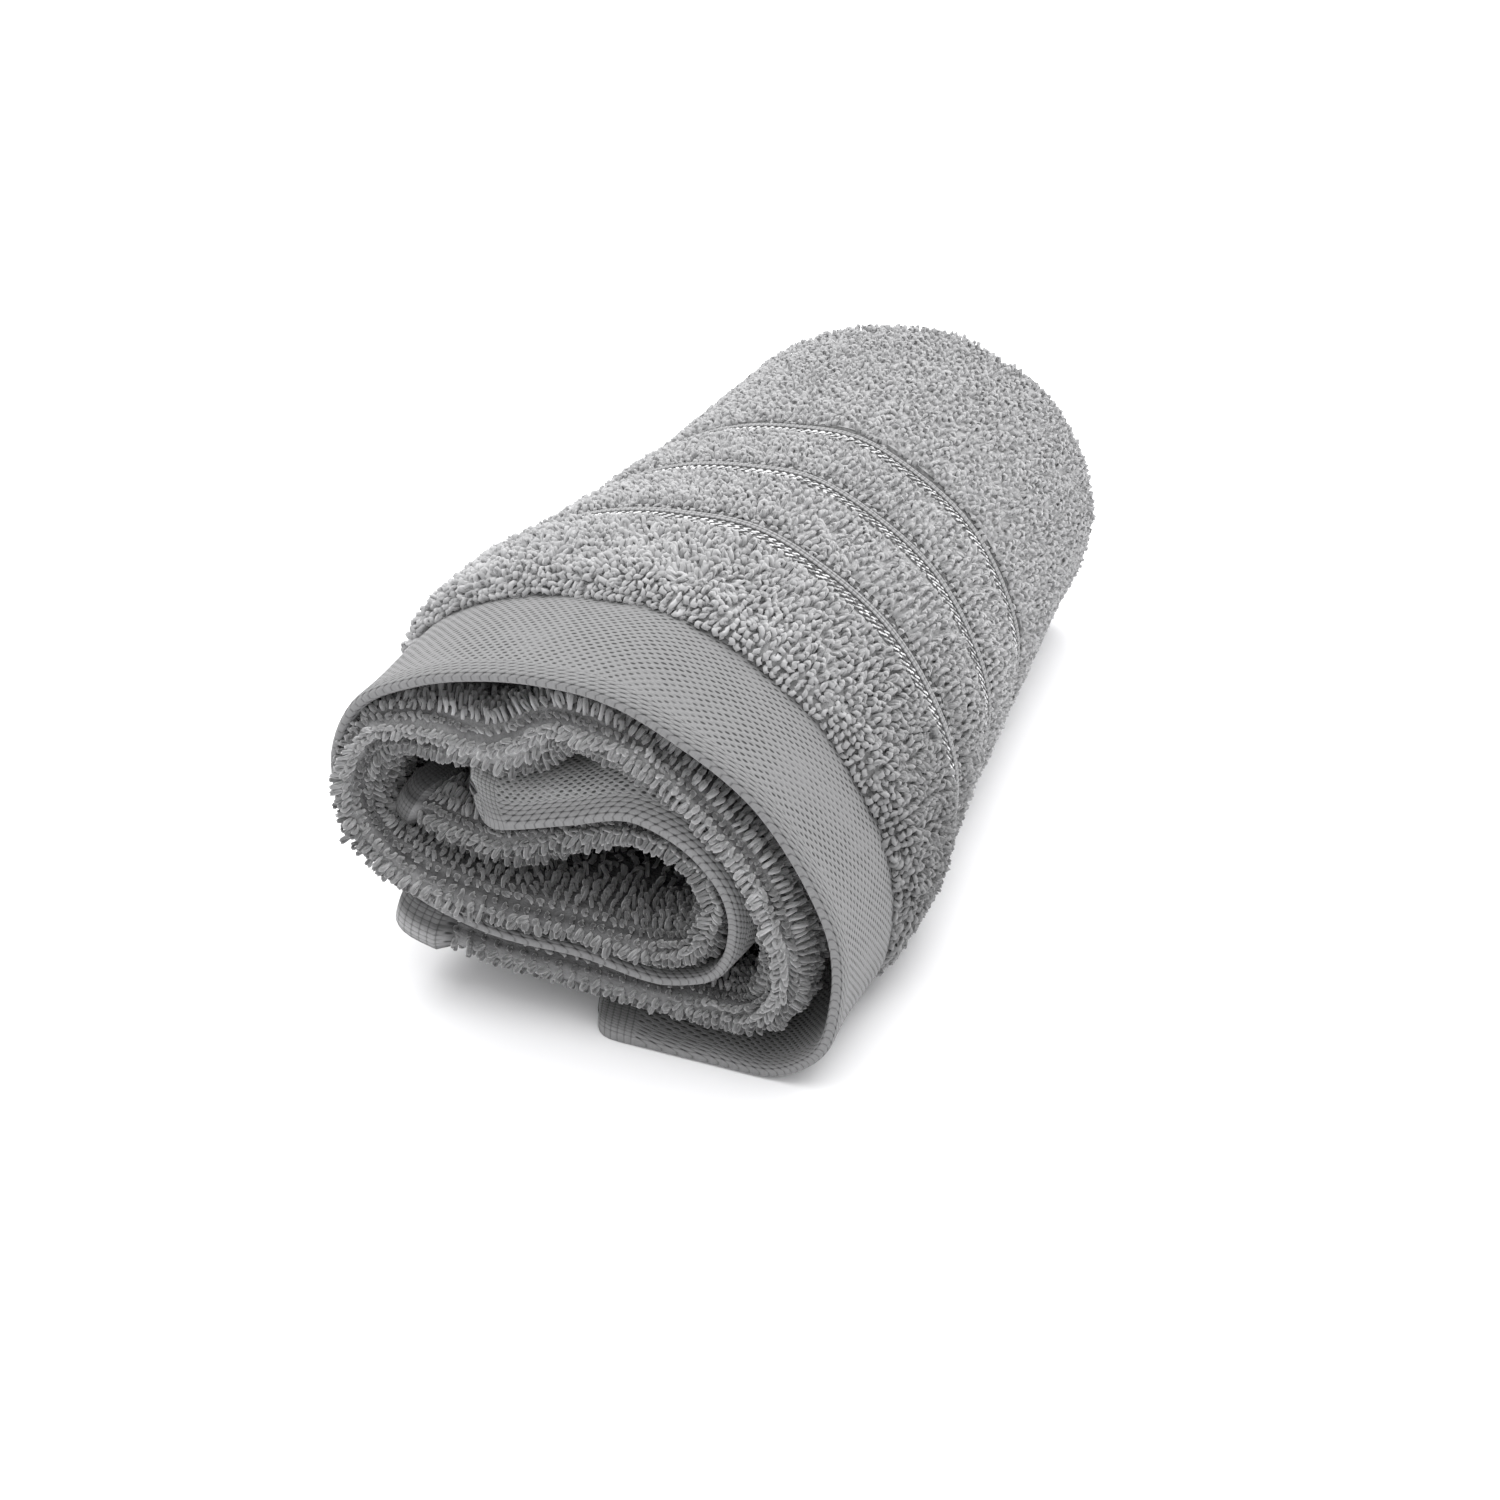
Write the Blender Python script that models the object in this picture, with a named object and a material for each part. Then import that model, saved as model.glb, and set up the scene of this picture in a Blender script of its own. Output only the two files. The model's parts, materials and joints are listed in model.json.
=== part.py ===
"""A hand towel, folded in thirds along its length and then rolled up across its width.

The cloth is one piece. Folding makes a band of three layers, 26 cm long: the outer layer, whose
flat-woven hem is the edge that shows at the front, and the folded pair inside it, whose fold is a
round ridge of pile at the front. Outer layer and pair run on into each other at the back, where the
first fold is. The band is wound just under two turns, and the roll lies pressed flat.

X is across the roll, Y along it from the hem's edge to the back, and Z is up from the surface. The
origin is on the surface, below the middle of the roll's box.
"""
import bpy
import numpy as np

MM = 0.001

# Sizes along the roll, in millimetres from the hem's edge.
ROLL_LENGTH = 256.0
HEM_DEPTH = 33.0
HEM_STEP = 6.0
STRIPE_CENTRES = (70.0, 108.0, 145.0)
STRIPE_WIDTH = 8.0
STRIPE_SLOPE = 2.5
STRIPE_SINK = 2.0
SLIT_DEPTH = 242.0
BACK_ROUND = 9.0
INSIDE_ROWS = (HEM_DEPTH, 110.0, 175.0)
PILE_ROWS = (180.0, 212.0)

# Sizes through the cloth, in millimetres.
HEM_HALF = 1.25
PAIR_HALF = 4.5
# The round of the pair's fold: how far behind its tip, and how much of the pair's thickness.
FOLD_ROUND = ((1.6, 0.75), (4.5, 1.0))

# The bends of the roll from its outer end to its inner end, at the hem's edge, in millimetres.
# Each row gives the middle of the outer layer and the middle of the folded pair beside it. "swell" is
# how much the outer layer's pile stands out past its hem, and "front" is where the pair's fold starts.
BEND_COLUMNS = ("outer_x", "outer_z", "pair_x", "pair_z", "swell", "front")
BENDS = {
    "overhang": (-44.5, 1.25, -48.5, 19.5, 0.0, 3.0),
    "underside left": (-21.0, 1.25, -23.0, 14.0, 0.0, 3.0),
    "underside": (1.0, 1.25, 0.5, 12.5, 0.0, 3.0),
    "underside right": (25.0, 1.25, 21.0, 12.0, 0.0, 3.0),
    "lower corner": (40.0, 2.5, 33.5, 14.0, 0.0, 3.5),
    "lower right": (48.0, 9.5, 39.0, 19.0, 1.0, 4.0),
    "right": (51.0, 22.0, 42.0, 26.5, 2.5, 4.0),
    "right middle": (50.5, 35.5, 41.0, 36.0, 3.5, 4.0),
    "shoulder": (44.5, 50.5, 36.5, 47.0, 4.0, 4.0),
    "upper right": (35.0, 64.5, 28.0, 57.0, 4.0, 4.0),
    "crown right": (21.5, 75.0, 16.5, 66.0, 4.0, 4.0),
    "crown": (7.0, 82.0, 5.5, 71.0, 4.0, 4.0),
    "crown left": (-7.5, 83.0, -7.0, 72.5, 4.0, 4.0),
    "dip": (-21.5, 81.5, -20.5, 66.5, 4.5, 3.0),
    "upper left": (-36.0, 77.0, -34.0, 67.0, 4.5, 1.0),
    "left shoulder": (-48.0, 69.5, -44.0, 63.5, 4.0, -1.0),
    "left": (-55.0, 56.0, -49.0, 53.5, 3.5, -3.0),
    "lower left": (-54.0, 39.5, -47.5, 42.0, 2.5, -3.0),
    "turn in": (-42.0, 27.5, -38.0, 34.5, 0.5, -1.0),
    "inner floor left": (-23.0, 21.0, -21.0, 29.0, 0.0, 2.0),
    "inner floor": (-2.0, 20.5, -2.0, 27.5, 0.0, 3.0),
    "inner floor right": (16.0, 18.5, 14.0, 26.0, 0.0, 3.0),
    "inner corner": (28.0, 22.0, 22.5, 28.5, 0.0, 3.0),
    "inner right": (33.3, 31.0, 26.5, 35.0, 0.0, 3.0),
    "inner shoulder": (32.6, 40.8, 25.0, 42.0, 0.0, 3.0),
    "inner crown right": (24.0, 51.5, 18.0, 47.0, 0.0, 3.0),
    "inner crown": (10.5, 56.5, 7.5, 49.0, 0.0, 3.0),
    "inner crown left": (-4.5, 53.0, -4.5, 46.5, 0.0, 2.0),
    "inner dip": (-19.5, 49.5, -20.0, 42.0, 0.0, 1.0),
    "inner end": (-35.0, 53.0, -33.0, 44.5, 0.0, 0.0),
    "inner tip": (-46.0, 58.5, -43.0, 49.5, 0.0, 0.0),
}
STATIONS_PER_BEND = 3

# How the roll's section changes along its length: "grow" is how much wider and higher it is than at
# the hem's edge, and "shift" how far it lies to the right, in millimetres.
FULLNESS = {
    "place": (0.0, 36.0, 60.0, 150.0, 200.0, 256.0),
    "grow": (0.0, 0.0, 0.022, 0.022, 0.05, 0.08),
    "shift": (0.0, 0.0, 0.8, 1.2, 1.4, 2.0),
}

# Where each layer starts and ends along the roll's bends, counted in rows of BENDS. At the hem's edge
# the folded pair reaches further both ways, and at the back both layers end together.
OUTER_AT_FRONT = (2.1, 28.2)
PAIR_AT_FRONT = (0.2, 29.9)
BOTH_AT_BACK = (0.3, 29.4)


def bend_column(name):
    """One column of the table of bends, in millimetres."""
    k = BEND_COLUMNS.index(name)
    return np.array([row[k] for row in BENDS.values()])


def curve_through(points, at):
    """A smooth curve through the points, read at row numbers `at`: its places and its directions."""
    steps = np.diff(points, axis=0)
    chord = np.linalg.norm(steps, axis=1)
    slope = steps / chord[:, None]
    before, after = chord[:-1, None], chord[1:, None]
    inner = (slope[:-1] * after + slope[1:] * before) / (before + after)
    slopes = np.vstack([2 * slope[0] - inner[0], inner, 2 * slope[-1] - inner[-1]])
    i = np.clip(np.floor(at).astype(int), 0, len(steps) - 1)
    t = (at - i)[:, None]
    a, b = points[i], points[i + 1]
    ma, mb = slopes[i] * chord[i, None], slopes[i + 1] * chord[i, None]
    place = a * (2 * t**3 - 3 * t**2 + 1) + ma * (t**3 - 2 * t**2 + t)
    place += b * (3 * t**2 - 2 * t**3) + mb * (t**3 - t**2)
    heading = (a - b) * (6 * t**2 - 6 * t) + ma * (3 * t**2 - 4 * t + 1) + mb * (3 * t**2 - 2 * t)
    return place, heading / np.linalg.norm(heading, axis=1)[:, None]


def smooth(low, high, value):
    """A soft step from 0 below `low` to 1 above `high`."""
    t = np.clip((value - low) / (high - low), 0.0, 1.0)
    return t * t * (3 - 2 * t)


def pile_height(y):
    """How far the outer layer's pile has risen at this place along the roll: 0 on the hem, 1 on pile."""
    return float(smooth(HEM_DEPTH - HEM_STEP / 2, HEM_DEPTH + HEM_STEP / 2, y))


def stripe_sink(y):
    """How far the cloth sinks at this place along the roll, in the grooves of the woven stripes."""
    half = STRIPE_WIDTH / 2
    return STRIPE_SINK * sum(
        1 - float(smooth(half - STRIPE_SLOPE, half, abs(y - centre))) for centre in STRIPE_CENTRES
    )


def rows_along():
    """Places along the roll that the outer surface needs: the hem's step and each stripe's groove."""
    rows = [HEM_HALF, HEM_DEPTH - HEM_STEP / 2, HEM_DEPTH + HEM_STEP / 2]
    half = STRIPE_WIDTH / 2
    for centre in STRIPE_CENTRES:
        rows += [centre - half, centre - half + STRIPE_SLOPE]
        rows += [centre + half - STRIPE_SLOPE, centre + half]
    return rows + [*PILE_ROWS, ROLL_LENGTH - BACK_ROUND]


class Layer:
    """One layer's middle line round the roll, for every station, at any place along the roll."""

    def __init__(self, x_name, z_name, at_front):
        self.points = np.column_stack([bend_column(x_name), bend_column(z_name)])
        self.at_front = at_front
        self.share = np.linspace(0, 1, STATIONS_PER_BEND * (len(BENDS) - 2) + 1)

    def rows_at(self, y):
        """The row numbers of the stations. The ends drift from their front to their back places."""
        drift = 1 - (1 - np.clip(y / SLIT_DEPTH, 0, 1)) ** 2
        start, end = (
            front + drift * (back - front) for front, back in zip(self.at_front, BOTH_AT_BACK)
        )
        return start + self.share * (end - start)

    def at(self, y, out):
        """The stations' points at y, moved out from the middle line by `out`, in millimetres."""
        place, heading = curve_through(self.points, self.rows_at(y))
        grow = 1 + np.interp(y, FULLNESS["place"], FULLNESS["grow"])
        shift = np.interp(y, FULLNESS["place"], FULLNESS["shift"])
        place = (place - (0.0, HEM_HALF)) * grow + (shift, HEM_HALF)
        outward = np.column_stack([heading[:, 1], -heading[:, 0]])
        moved = place + outward * np.reshape(out, (-1, 1))
        return np.column_stack([moved[:, 0], np.full(len(moved), y), moved[:, 1]])

    def column_at(self, name, y):
        """A column of the table of bends, read at the stations."""
        return np.interp(self.rows_at(y), np.arange(len(BENDS)), bend_column(name))


def outer_surface(layer, y):
    """The outer layer's outer side at y: hem, pile and the grooves of the stripes."""
    swell = layer.column_at("swell", y)
    sink = np.minimum(swell, stripe_sink(y))
    return on_surface(layer.at(y, HEM_HALF + swell * pile_height(y) - sink))


def on_surface(points):
    """The points, with those that would sink below the resting surface laid flat on it."""
    return np.column_stack([points[:, :2], np.maximum(points[:, 2], 0.0)])


def set_back(points, y):
    """The points, each moved along the roll to its own y."""
    return np.column_stack([points[:, 0], y, points[:, 2]])


def build_chains():
    """The section's four chains of rows, each row with a point for every station round the roll."""
    outer = Layer("outer_x", "outer_z", OUTER_AT_FRONT)
    pair = Layer("pair_x", "pair_z", PAIR_AT_FRONT)
    back = ROLL_LENGTH - BACK_ROUND
    outer_inside = [outer.at(y, -HEM_HALF) for y in (HEM_HALF, *INSIDE_ROWS)]
    fold = pair.column_at("front", 0.0)
    fold_tip = set_back(pair.at(0.0, 0.0), fold)
    pair_outside = [set_back(pair.at(0.0, PAIR_HALF * w), fold + deep) for deep, w in FOLD_ROUND]
    pair_inside = [set_back(pair.at(0.0, -PAIR_HALF * w), fold + deep) for deep, w in FOLD_ROUND]
    pair_outside += [pair.at(y, PAIR_HALF) for y in INSIDE_ROWS]
    pair_inside += [pair.at(y, -PAIR_HALF) for y in (*INSIDE_ROWS, back)]
    slit_end = (outer.at(SLIT_DEPTH, -HEM_HALF) + pair.at(SLIT_DEPTH, PAIR_HALF)) / 2
    outer_chain = [outer.at(0.0, 0.0)]
    outer_chain += [outer_surface(outer, y) for y in rows_along()]
    near_back = ROLL_LENGTH - BACK_ROUND / 4
    outer_chain.append(outer.at(near_back, HEM_HALF * 0.6 + outer.column_at("swell", back) * 0.5))
    middle_back = (outer.at(ROLL_LENGTH, -HEM_HALF) + pair.at(ROLL_LENGTH, PAIR_HALF)) / 2
    outer_chain.append(middle_back)
    pair_chain = [fold_tip] + pair_inside + [pair.at(near_back, -PAIR_HALF * 0.4), middle_back]
    return outer_chain, outer_inside + [slit_end], pair_chain, pair_outside + [slit_end]


def zip_cap(left, right, heights):
    """Triangles across the space between two chains of corner numbers that end at the same place."""
    faces = []
    i = j = 0
    while i < len(left) - 1 or j < len(right) - 1:
        step_left = j == len(right) - 1 or (
            i < len(left) - 1 and heights[left[i + 1]] <= heights[right[j + 1]]
        )
        if step_left:
            faces.append((left[i], left[i + 1], right[j]))
            i += 1
        else:
            faces.append((left[i], right[j + 1], right[j]))
            j += 1
    return faces


def centred(points):
    """The points moved along the surface, so that the middle of their box is above the origin."""
    low, high = points.min(axis=(0, 1)), points.max(axis=(0, 1))
    return points - (low + high) / 2 * (1, 1, 0)


def build_roll():
    """The wound towel as one closed mesh: the section's loop at each station, joined and capped."""
    outer_chain, outer_inside, pair_chain, pair_outside = build_chains()
    loop = outer_chain + pair_chain[-2::-1] + pair_outside + outer_inside[-2::-1]
    rings = len(loop)
    stations = len(loop[0])
    points = centred(np.stack(loop, axis=1)) * MM
    corner = np.arange(stations * rings).reshape(stations, rings)
    faces = []
    for i in range(stations - 1):
        for k in range(rings):
            n = (k + 1) % rings
            faces.append((corner[i, k], corner[i, n], corner[i + 1, n], corner[i + 1, k]))
    a, b, c = len(outer_chain), len(pair_chain) - 1, len(pair_outside)
    numbers = list(range(rings))
    outer_left = numbers[:a]
    pair_left = numbers[a : a + b][::-1] + [a - 1]
    pair_right = numbers[a + b : a + b + c]
    outer_right = numbers[a + b + c :][::-1] + [a + b + c - 1]
    for station, turned in ((0, False), (stations - 1, True)):
        heights = points[station, :, 1]
        cap = zip_cap(outer_left, outer_right, heights)
        cap += [face[::-1] for face in zip_cap(pair_left, pair_right, heights)]
        for face in cap:
            ring = [int(corner[station, k]) for k in face]
            faces.append(tuple(ring if turned else ring[::-1]))
    mesh = bpy.data.meshes.new("towel")
    mesh.from_pydata(points.reshape(-1, 3).tolist(), [], [tuple(map(int, f)) for f in faces])
    mesh.validate()
    mesh.update()
    return mesh


def cotton():
    """Mid grey cotton, dull and rough."""
    material = bpy.data.materials.new("grey_cotton")
    material.use_nodes = True
    shader = material.node_tree.nodes["Principled BSDF"]
    shader.inputs["Base Color"].default_value = (0.36, 0.36, 0.37, 1.0)
    shader.inputs["Roughness"].default_value = 0.95
    shader.inputs["Metallic"].default_value = 0.0
    return material


def main():
    """Clear the scene and build the towel."""
    for thing in list(bpy.data.objects):
        bpy.data.objects.remove(thing)
    towel = bpy.data.objects.new("towel", build_roll())
    towel.data.materials.append(cotton())
    towel.data.shade_smooth()
    bpy.context.scene.collection.objects.link(towel)


main()
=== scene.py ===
"""The looks of a rolled hand towel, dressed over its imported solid.

The cloth is one sheet, cut 41 by 77 cm. It is folded in thirds along its length and then rolled up
across its width. Round the roll it lies three layers deep: the outer layer, whose flat hem is the edge
that shows at the front, and the folded pair inside it. Terry loops, cords and floats stand on it.
Sizes are in millimetres, unless a name says otherwise, and meshes are made in metres.
"""

import json
import logging
import math
from dataclasses import dataclass, field
from enum import Enum

import bpy
import numpy as np
from mathutils import Matrix

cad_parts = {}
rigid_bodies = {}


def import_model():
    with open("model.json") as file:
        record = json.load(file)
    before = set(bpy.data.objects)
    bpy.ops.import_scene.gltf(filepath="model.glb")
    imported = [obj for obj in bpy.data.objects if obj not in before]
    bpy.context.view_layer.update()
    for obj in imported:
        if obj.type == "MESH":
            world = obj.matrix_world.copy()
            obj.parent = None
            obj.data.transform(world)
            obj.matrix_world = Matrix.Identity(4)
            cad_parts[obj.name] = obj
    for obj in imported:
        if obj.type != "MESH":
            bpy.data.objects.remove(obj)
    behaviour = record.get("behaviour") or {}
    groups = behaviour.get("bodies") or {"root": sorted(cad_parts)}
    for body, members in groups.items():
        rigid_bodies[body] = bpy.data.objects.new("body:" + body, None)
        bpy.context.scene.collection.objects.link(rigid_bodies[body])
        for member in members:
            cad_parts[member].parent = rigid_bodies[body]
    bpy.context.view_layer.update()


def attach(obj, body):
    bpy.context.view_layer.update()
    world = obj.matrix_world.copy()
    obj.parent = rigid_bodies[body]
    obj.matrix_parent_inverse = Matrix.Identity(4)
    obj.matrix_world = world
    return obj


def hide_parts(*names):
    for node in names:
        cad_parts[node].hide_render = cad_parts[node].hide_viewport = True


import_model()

log = logging.getLogger("towel")

MM = 0.001
# How much more blue than red the greys have.
COOL = 1.012
BODY = "root"
NODE = "towel"

# The bends of the roll, as its solid has them: the middle of the outer layer and of the folded pair,
# how far the outer layer's pile stands out past its hem, and where the pair's fold starts.
BEND_COLUMNS = ("outer_x", "outer_z", "pair_x", "pair_z", "swell", "front")
BENDS = {
    "overhang": (-44.5, 1.25, -48.5, 19.5, 0.0, 3.0),
    "underside left": (-21.0, 1.25, -23.0, 14.0, 0.0, 3.0),
    "underside": (1.0, 1.25, 0.5, 12.5, 0.0, 3.0),
    "underside right": (25.0, 1.25, 21.0, 12.0, 0.0, 3.0),
    "lower corner": (40.0, 2.5, 33.5, 14.0, 0.0, 3.5),
    "lower right": (48.0, 9.5, 39.0, 19.0, 1.0, 4.0),
    "right": (51.0, 22.0, 42.0, 26.5, 2.5, 4.0),
    "right middle": (50.5, 35.5, 41.0, 36.0, 3.5, 4.0),
    "shoulder": (44.5, 50.5, 36.5, 47.0, 4.0, 4.0),
    "upper right": (35.0, 64.5, 28.0, 57.0, 4.0, 4.0),
    "crown right": (21.5, 75.0, 16.5, 66.0, 4.0, 4.0),
    "crown": (7.0, 82.0, 5.5, 71.0, 4.0, 4.0),
    "crown left": (-7.5, 83.0, -7.0, 72.5, 4.0, 4.0),
    "dip": (-21.5, 81.5, -20.5, 66.5, 4.5, 3.0),
    "upper left": (-36.0, 77.0, -34.0, 67.0, 4.5, 1.0),
    "left shoulder": (-48.0, 69.5, -44.0, 63.5, 4.0, -1.0),
    "left": (-55.0, 56.0, -49.0, 53.5, 3.5, -3.0),
    "lower left": (-54.0, 39.5, -47.5, 42.0, 2.5, -3.0),
    "turn in": (-42.0, 27.5, -38.0, 34.5, 0.5, -1.0),
    "inner floor left": (-23.0, 21.0, -21.0, 29.0, 0.0, 2.0),
    "inner floor": (-2.0, 20.5, -2.0, 27.5, 0.0, 3.0),
    "inner floor right": (16.0, 18.5, 14.0, 26.0, 0.0, 3.0),
    "inner corner": (28.0, 22.0, 22.5, 28.5, 0.0, 3.0),
    "inner right": (33.3, 31.0, 26.5, 35.0, 0.0, 3.0),
    "inner shoulder": (32.6, 40.8, 25.0, 42.0, 0.0, 3.0),
    "inner crown right": (24.0, 51.5, 18.0, 47.0, 0.0, 3.0),
    "inner crown": (10.5, 56.5, 7.5, 49.0, 0.0, 3.0),
    "inner crown left": (-4.5, 53.0, -4.5, 46.5, 0.0, 2.0),
    "inner dip": (-19.5, 49.5, -20.0, 42.0, 0.0, 1.0),
    "inner end": (-35.0, 53.0, -33.0, 44.5, 0.0, 0.0),
    "inner tip": (-46.0, 58.5, -43.0, 49.5, 0.0, 0.0),
}

# How the roll's section grows and moves to the right from the hem's edge to the back.
FULLNESS = {
    "place": (0.0, 36.0, 60.0, 150.0, 200.0, 256.0),
    "grow": (0.0, 0.0, 0.022, 0.022, 0.05, 0.08),
    "shift": (0.0, 0.0, 0.8, 1.2, 1.4, 2.0),
}

# The outer layer's unevenness, bend by bend: how far it bulges out at the hem's edge, in the band past
# the hem, and at the back, and how much painted shade darkens its pile on the right side. The edge
# sags along the top.
SLACK_COLUMNS = ("edge", "band", "back", "painted_shade")
SLACK = {
    "lower corner": (0.0, 1.0, -2.0, 0.37),
    "lower right": (0.0, 2.5, -2.5, 0.42),
    "right": (0.0, 2.0, -1.5, 0.47),
    "right middle": (0.0, 1.0, 0.5, 0.43),
    "shoulder": (-0.5, 0.5, 2.5, 0.28),
    "upper right": (-1.5, 0.0, 3.0, 0.12),
    "crown right": (-3.0, 0.0, 2.0, 0.0),
    "crown": (-4.0, 0.0, 1.0, 0.0),
    "crown left": (-3.5, 0.3, 1.0, 0.0),
    "dip": (-3.3, 0.8, 0.5, 0.0),
    "upper left": (-2.5, 1.5, 0.0, 0.0),
    "left shoulder": (-1.0, 2.0, 0.0, 0.0),
    "left": (0.0, 1.2, 0.0, 0.0),
    "inner corner": (-2.5, 0.0, 0.0, 0.0),
    "inner right": (-4.5, 0.0, 0.0, 0.0),
    "inner shoulder": (-4.2, 0.0, 0.0, 0.0),
    "inner crown right": (-3.0, 0.0, 0.0, 0.0),
    "inner crown": (-2.0, 0.0, 0.0, 0.0),
    "inner crown left": (-2.6, 0.0, 0.0, 0.0),
    "inner dip": (-2.8, 0.0, 0.0, 0.0),
    "inner end": (-2.8, 0.0, 0.0, 0.0),
}

# The folded pair's ridge at the front, bend by bend: where the tips of its loops reach along the roll,
# how far its two leaves bulge out and in from the pair's middle line, how long the loops can grow where
# the outer layer lies close over them, and their shade: painted shade on the pair's loops and cloth,
# darkest at the inner bends.
RIDGE_COLUMNS = ("tip", "outward", "inward", "room", "shade")
RIDGE = {
    "overhang": (0.0, 4.5, 3.2, 2.2, 0.44),
    "underside left": (0.0, 4.8, 3.5, 2.2, 0.44),
    "underside": (0.0, 4.5, 3.5, 2.2, 0.44),
    "underside right": (0.0, 5.0, 3.2, 2.2, 0.44),
    "lower corner": (0.0, 5.0, 2.2, 3.0, 0.44),
    "lower right": (-0.5, 2.8, 3.5, 3.0, 0.53),
    "right": (-1.0, 0.8, 5.5, 3.0, 0.56),
    "right middle": (-1.5, 0.4, 5.4, 3.0, 0.56),
    "shoulder": (-1.5, 0.0, 5.2, 2.6, 0.56),
    "upper right": (-1.0, 0.0, 5.2, 2.6, 0.56),
    "crown right": (-0.5, 0.3, 5.6, 2.6, 0.56),
    "crown": (0.0, 0.8, 6.2, 3.0, 0.56),
    "crown left": (0.5, 1.3, 7.8, 3.0, 0.56),
    "dip": (0.5, 1.4, 9.6, 3.0, 0.6),
    "upper left": (0.0, 1.5, 8.5, 3.0, 0.58),
    "left shoulder": (-3.5, 4.3, 4.0, 1.8, 0.56),
    "left": (-5.5, 5.0, 2.5, 0.7, 0.54),
    "lower left": (-6.5, 6.0, 2.5, 0.7, 0.48),
    "turn in": (-6.0, 6.5, 2.5, 1.2, 0.51),
    "inner floor left": (-4.0, 5.3, 2.5, 2.0, 0.36),
    "inner floor": (-2.5, 4.8, 2.5, 1.3, 0.36),
    "inner floor right": (-2.5, 5.0, 2.5, 2.0, 0.36),
    "inner corner": (-2.0, 2.5, 2.5, 3.0, 0.36),
    "inner right": (-0.5, 0.6, 2.5, 3.0, 0.41),
    "inner shoulder": (0.5, 0.6, 2.5, 3.0, 0.38),
    "inner crown right": (2.0, 1.0, 2.5, 3.0, 0.38),
    "inner crown": (2.0, 2.5, 3.0, 3.0, 0.41),
    "inner crown left": (1.5, 2.5, 3.5, 2.8, 0.41),
    "inner dip": (0.5, 2.5, 5.5, 3.0, 0.41),
    "inner end": (0.0, 2.0, 5.5, 3.0, 0.35),
    "inner tip": (0.0, 2.0, 4.0, 3.0, 0.35),
}

# The furrows that run along the ridge: where they are across its fold, in degrees, how long the loops
# are there, and their shade: painted shade in the furrows and painted light on the crests between them.
FURROWS = {
    "turn": (-90.0, -62.0, -38.0, -12.0, 16.0, 42.0, 66.0, 90.0),
    "height": (0.85, 0.95, 0.4, 1.05, 0.95, 0.35, 0.85, 0.85),
    "shade": (0.95, 1.3, 0.42, 1.6, 1.4, 0.42, 1.0, 0.85),
}


# A number, or one for each station.
Numbers = np.ndarray | float

# What each row of the cloth says about its loops.
PATCH_KEYS = ("pile", "lean", "shade")


class Layer(Enum):
    """The two layers of the wound band: their columns in BENDS, and the rows where they end in front."""

    OUTER = (("outer_x", "outer_z"), (1.9, 28.25))
    PAIR = (("pair_x", "pair_z"), (0.03, 29.95))

    def __init__(self, columns: tuple[str, str], at_front: tuple[float, float]) -> None:
        """Give the member's two values their names."""
        self.columns = columns
        self.at_front = at_front


class Zone(Enum):
    """What the cloth is at a place: the number is its material's place on the sheet."""

    HEM = 0
    TERRY = 1
    STRIPE = 2


def smooth(low: float, high: float, value: Numbers) -> Numbers:
    """A soft step from 0 below `low` to 1 above `high`."""
    t = np.clip((value - low) / (high - low), 0.0, 1.0)
    return t * t * (3 - 2 * t)


def ease(value: float, reach: float) -> float:
    """A rise from 0 at 0 to 1 at `reach`, quick at first and then soft."""
    return 1 - (1 - np.clip(value / reach, 0, 1)) ** 2


def quarter(value: np.ndarray, reach: Numbers) -> np.ndarray:
    """A rise from 0 at 0 to 1 at `reach`, round a quarter of a circle."""
    return np.sqrt(1 - (1 - np.clip(value / reach, 0, 1)) ** 2)


def run_along(rows: np.ndarray) -> np.ndarray:
    """How far the rows of a grid of points lie past its first row, along the cloth."""
    steps = np.linalg.norm(np.diff(rows, axis=0), axis=2).mean(axis=1)
    return np.concatenate([[0.0], np.cumsum(steps)])


def curve_through(points: np.ndarray, at: np.ndarray) -> tuple[np.ndarray, np.ndarray]:
    """A smooth curve through points.

    Args:
        points: The points, one a row.
        at: Row numbers, whole or between two rows.

    Returns:
        The places on the curve, and its directions there, each of length 1.
    """
    steps = np.diff(points, axis=0)
    chord = np.linalg.norm(steps, axis=1)
    slope = steps / chord[:, None]
    before, after = chord[:-1, None], chord[1:, None]
    inner = (slope[:-1] * after + slope[1:] * before) / (before + after)
    slopes = np.vstack([2 * slope[0] - inner[0], inner, 2 * slope[-1] - inner[-1]])
    i = np.clip(np.floor(at).astype(int), 0, len(steps) - 1)
    t = (at - i)[:, None]
    a, b = points[i], points[i + 1]
    ma, mb = slopes[i] * chord[i, None], slopes[i + 1] * chord[i, None]
    place = a * (2 * t**3 - 3 * t**2 + 1) + ma * (t**3 - 2 * t**2 + t)
    place += b * (3 * t**2 - 2 * t**3) + mb * (t**3 - t**2)
    heading = (a - b) * (6 * t**2 - 6 * t) + ma * (3 * t**2 - 4 * t + 1) + mb * (3 * t**2 - 2 * t)
    return place, heading / np.linalg.norm(heading, axis=1)[:, None]


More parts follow.
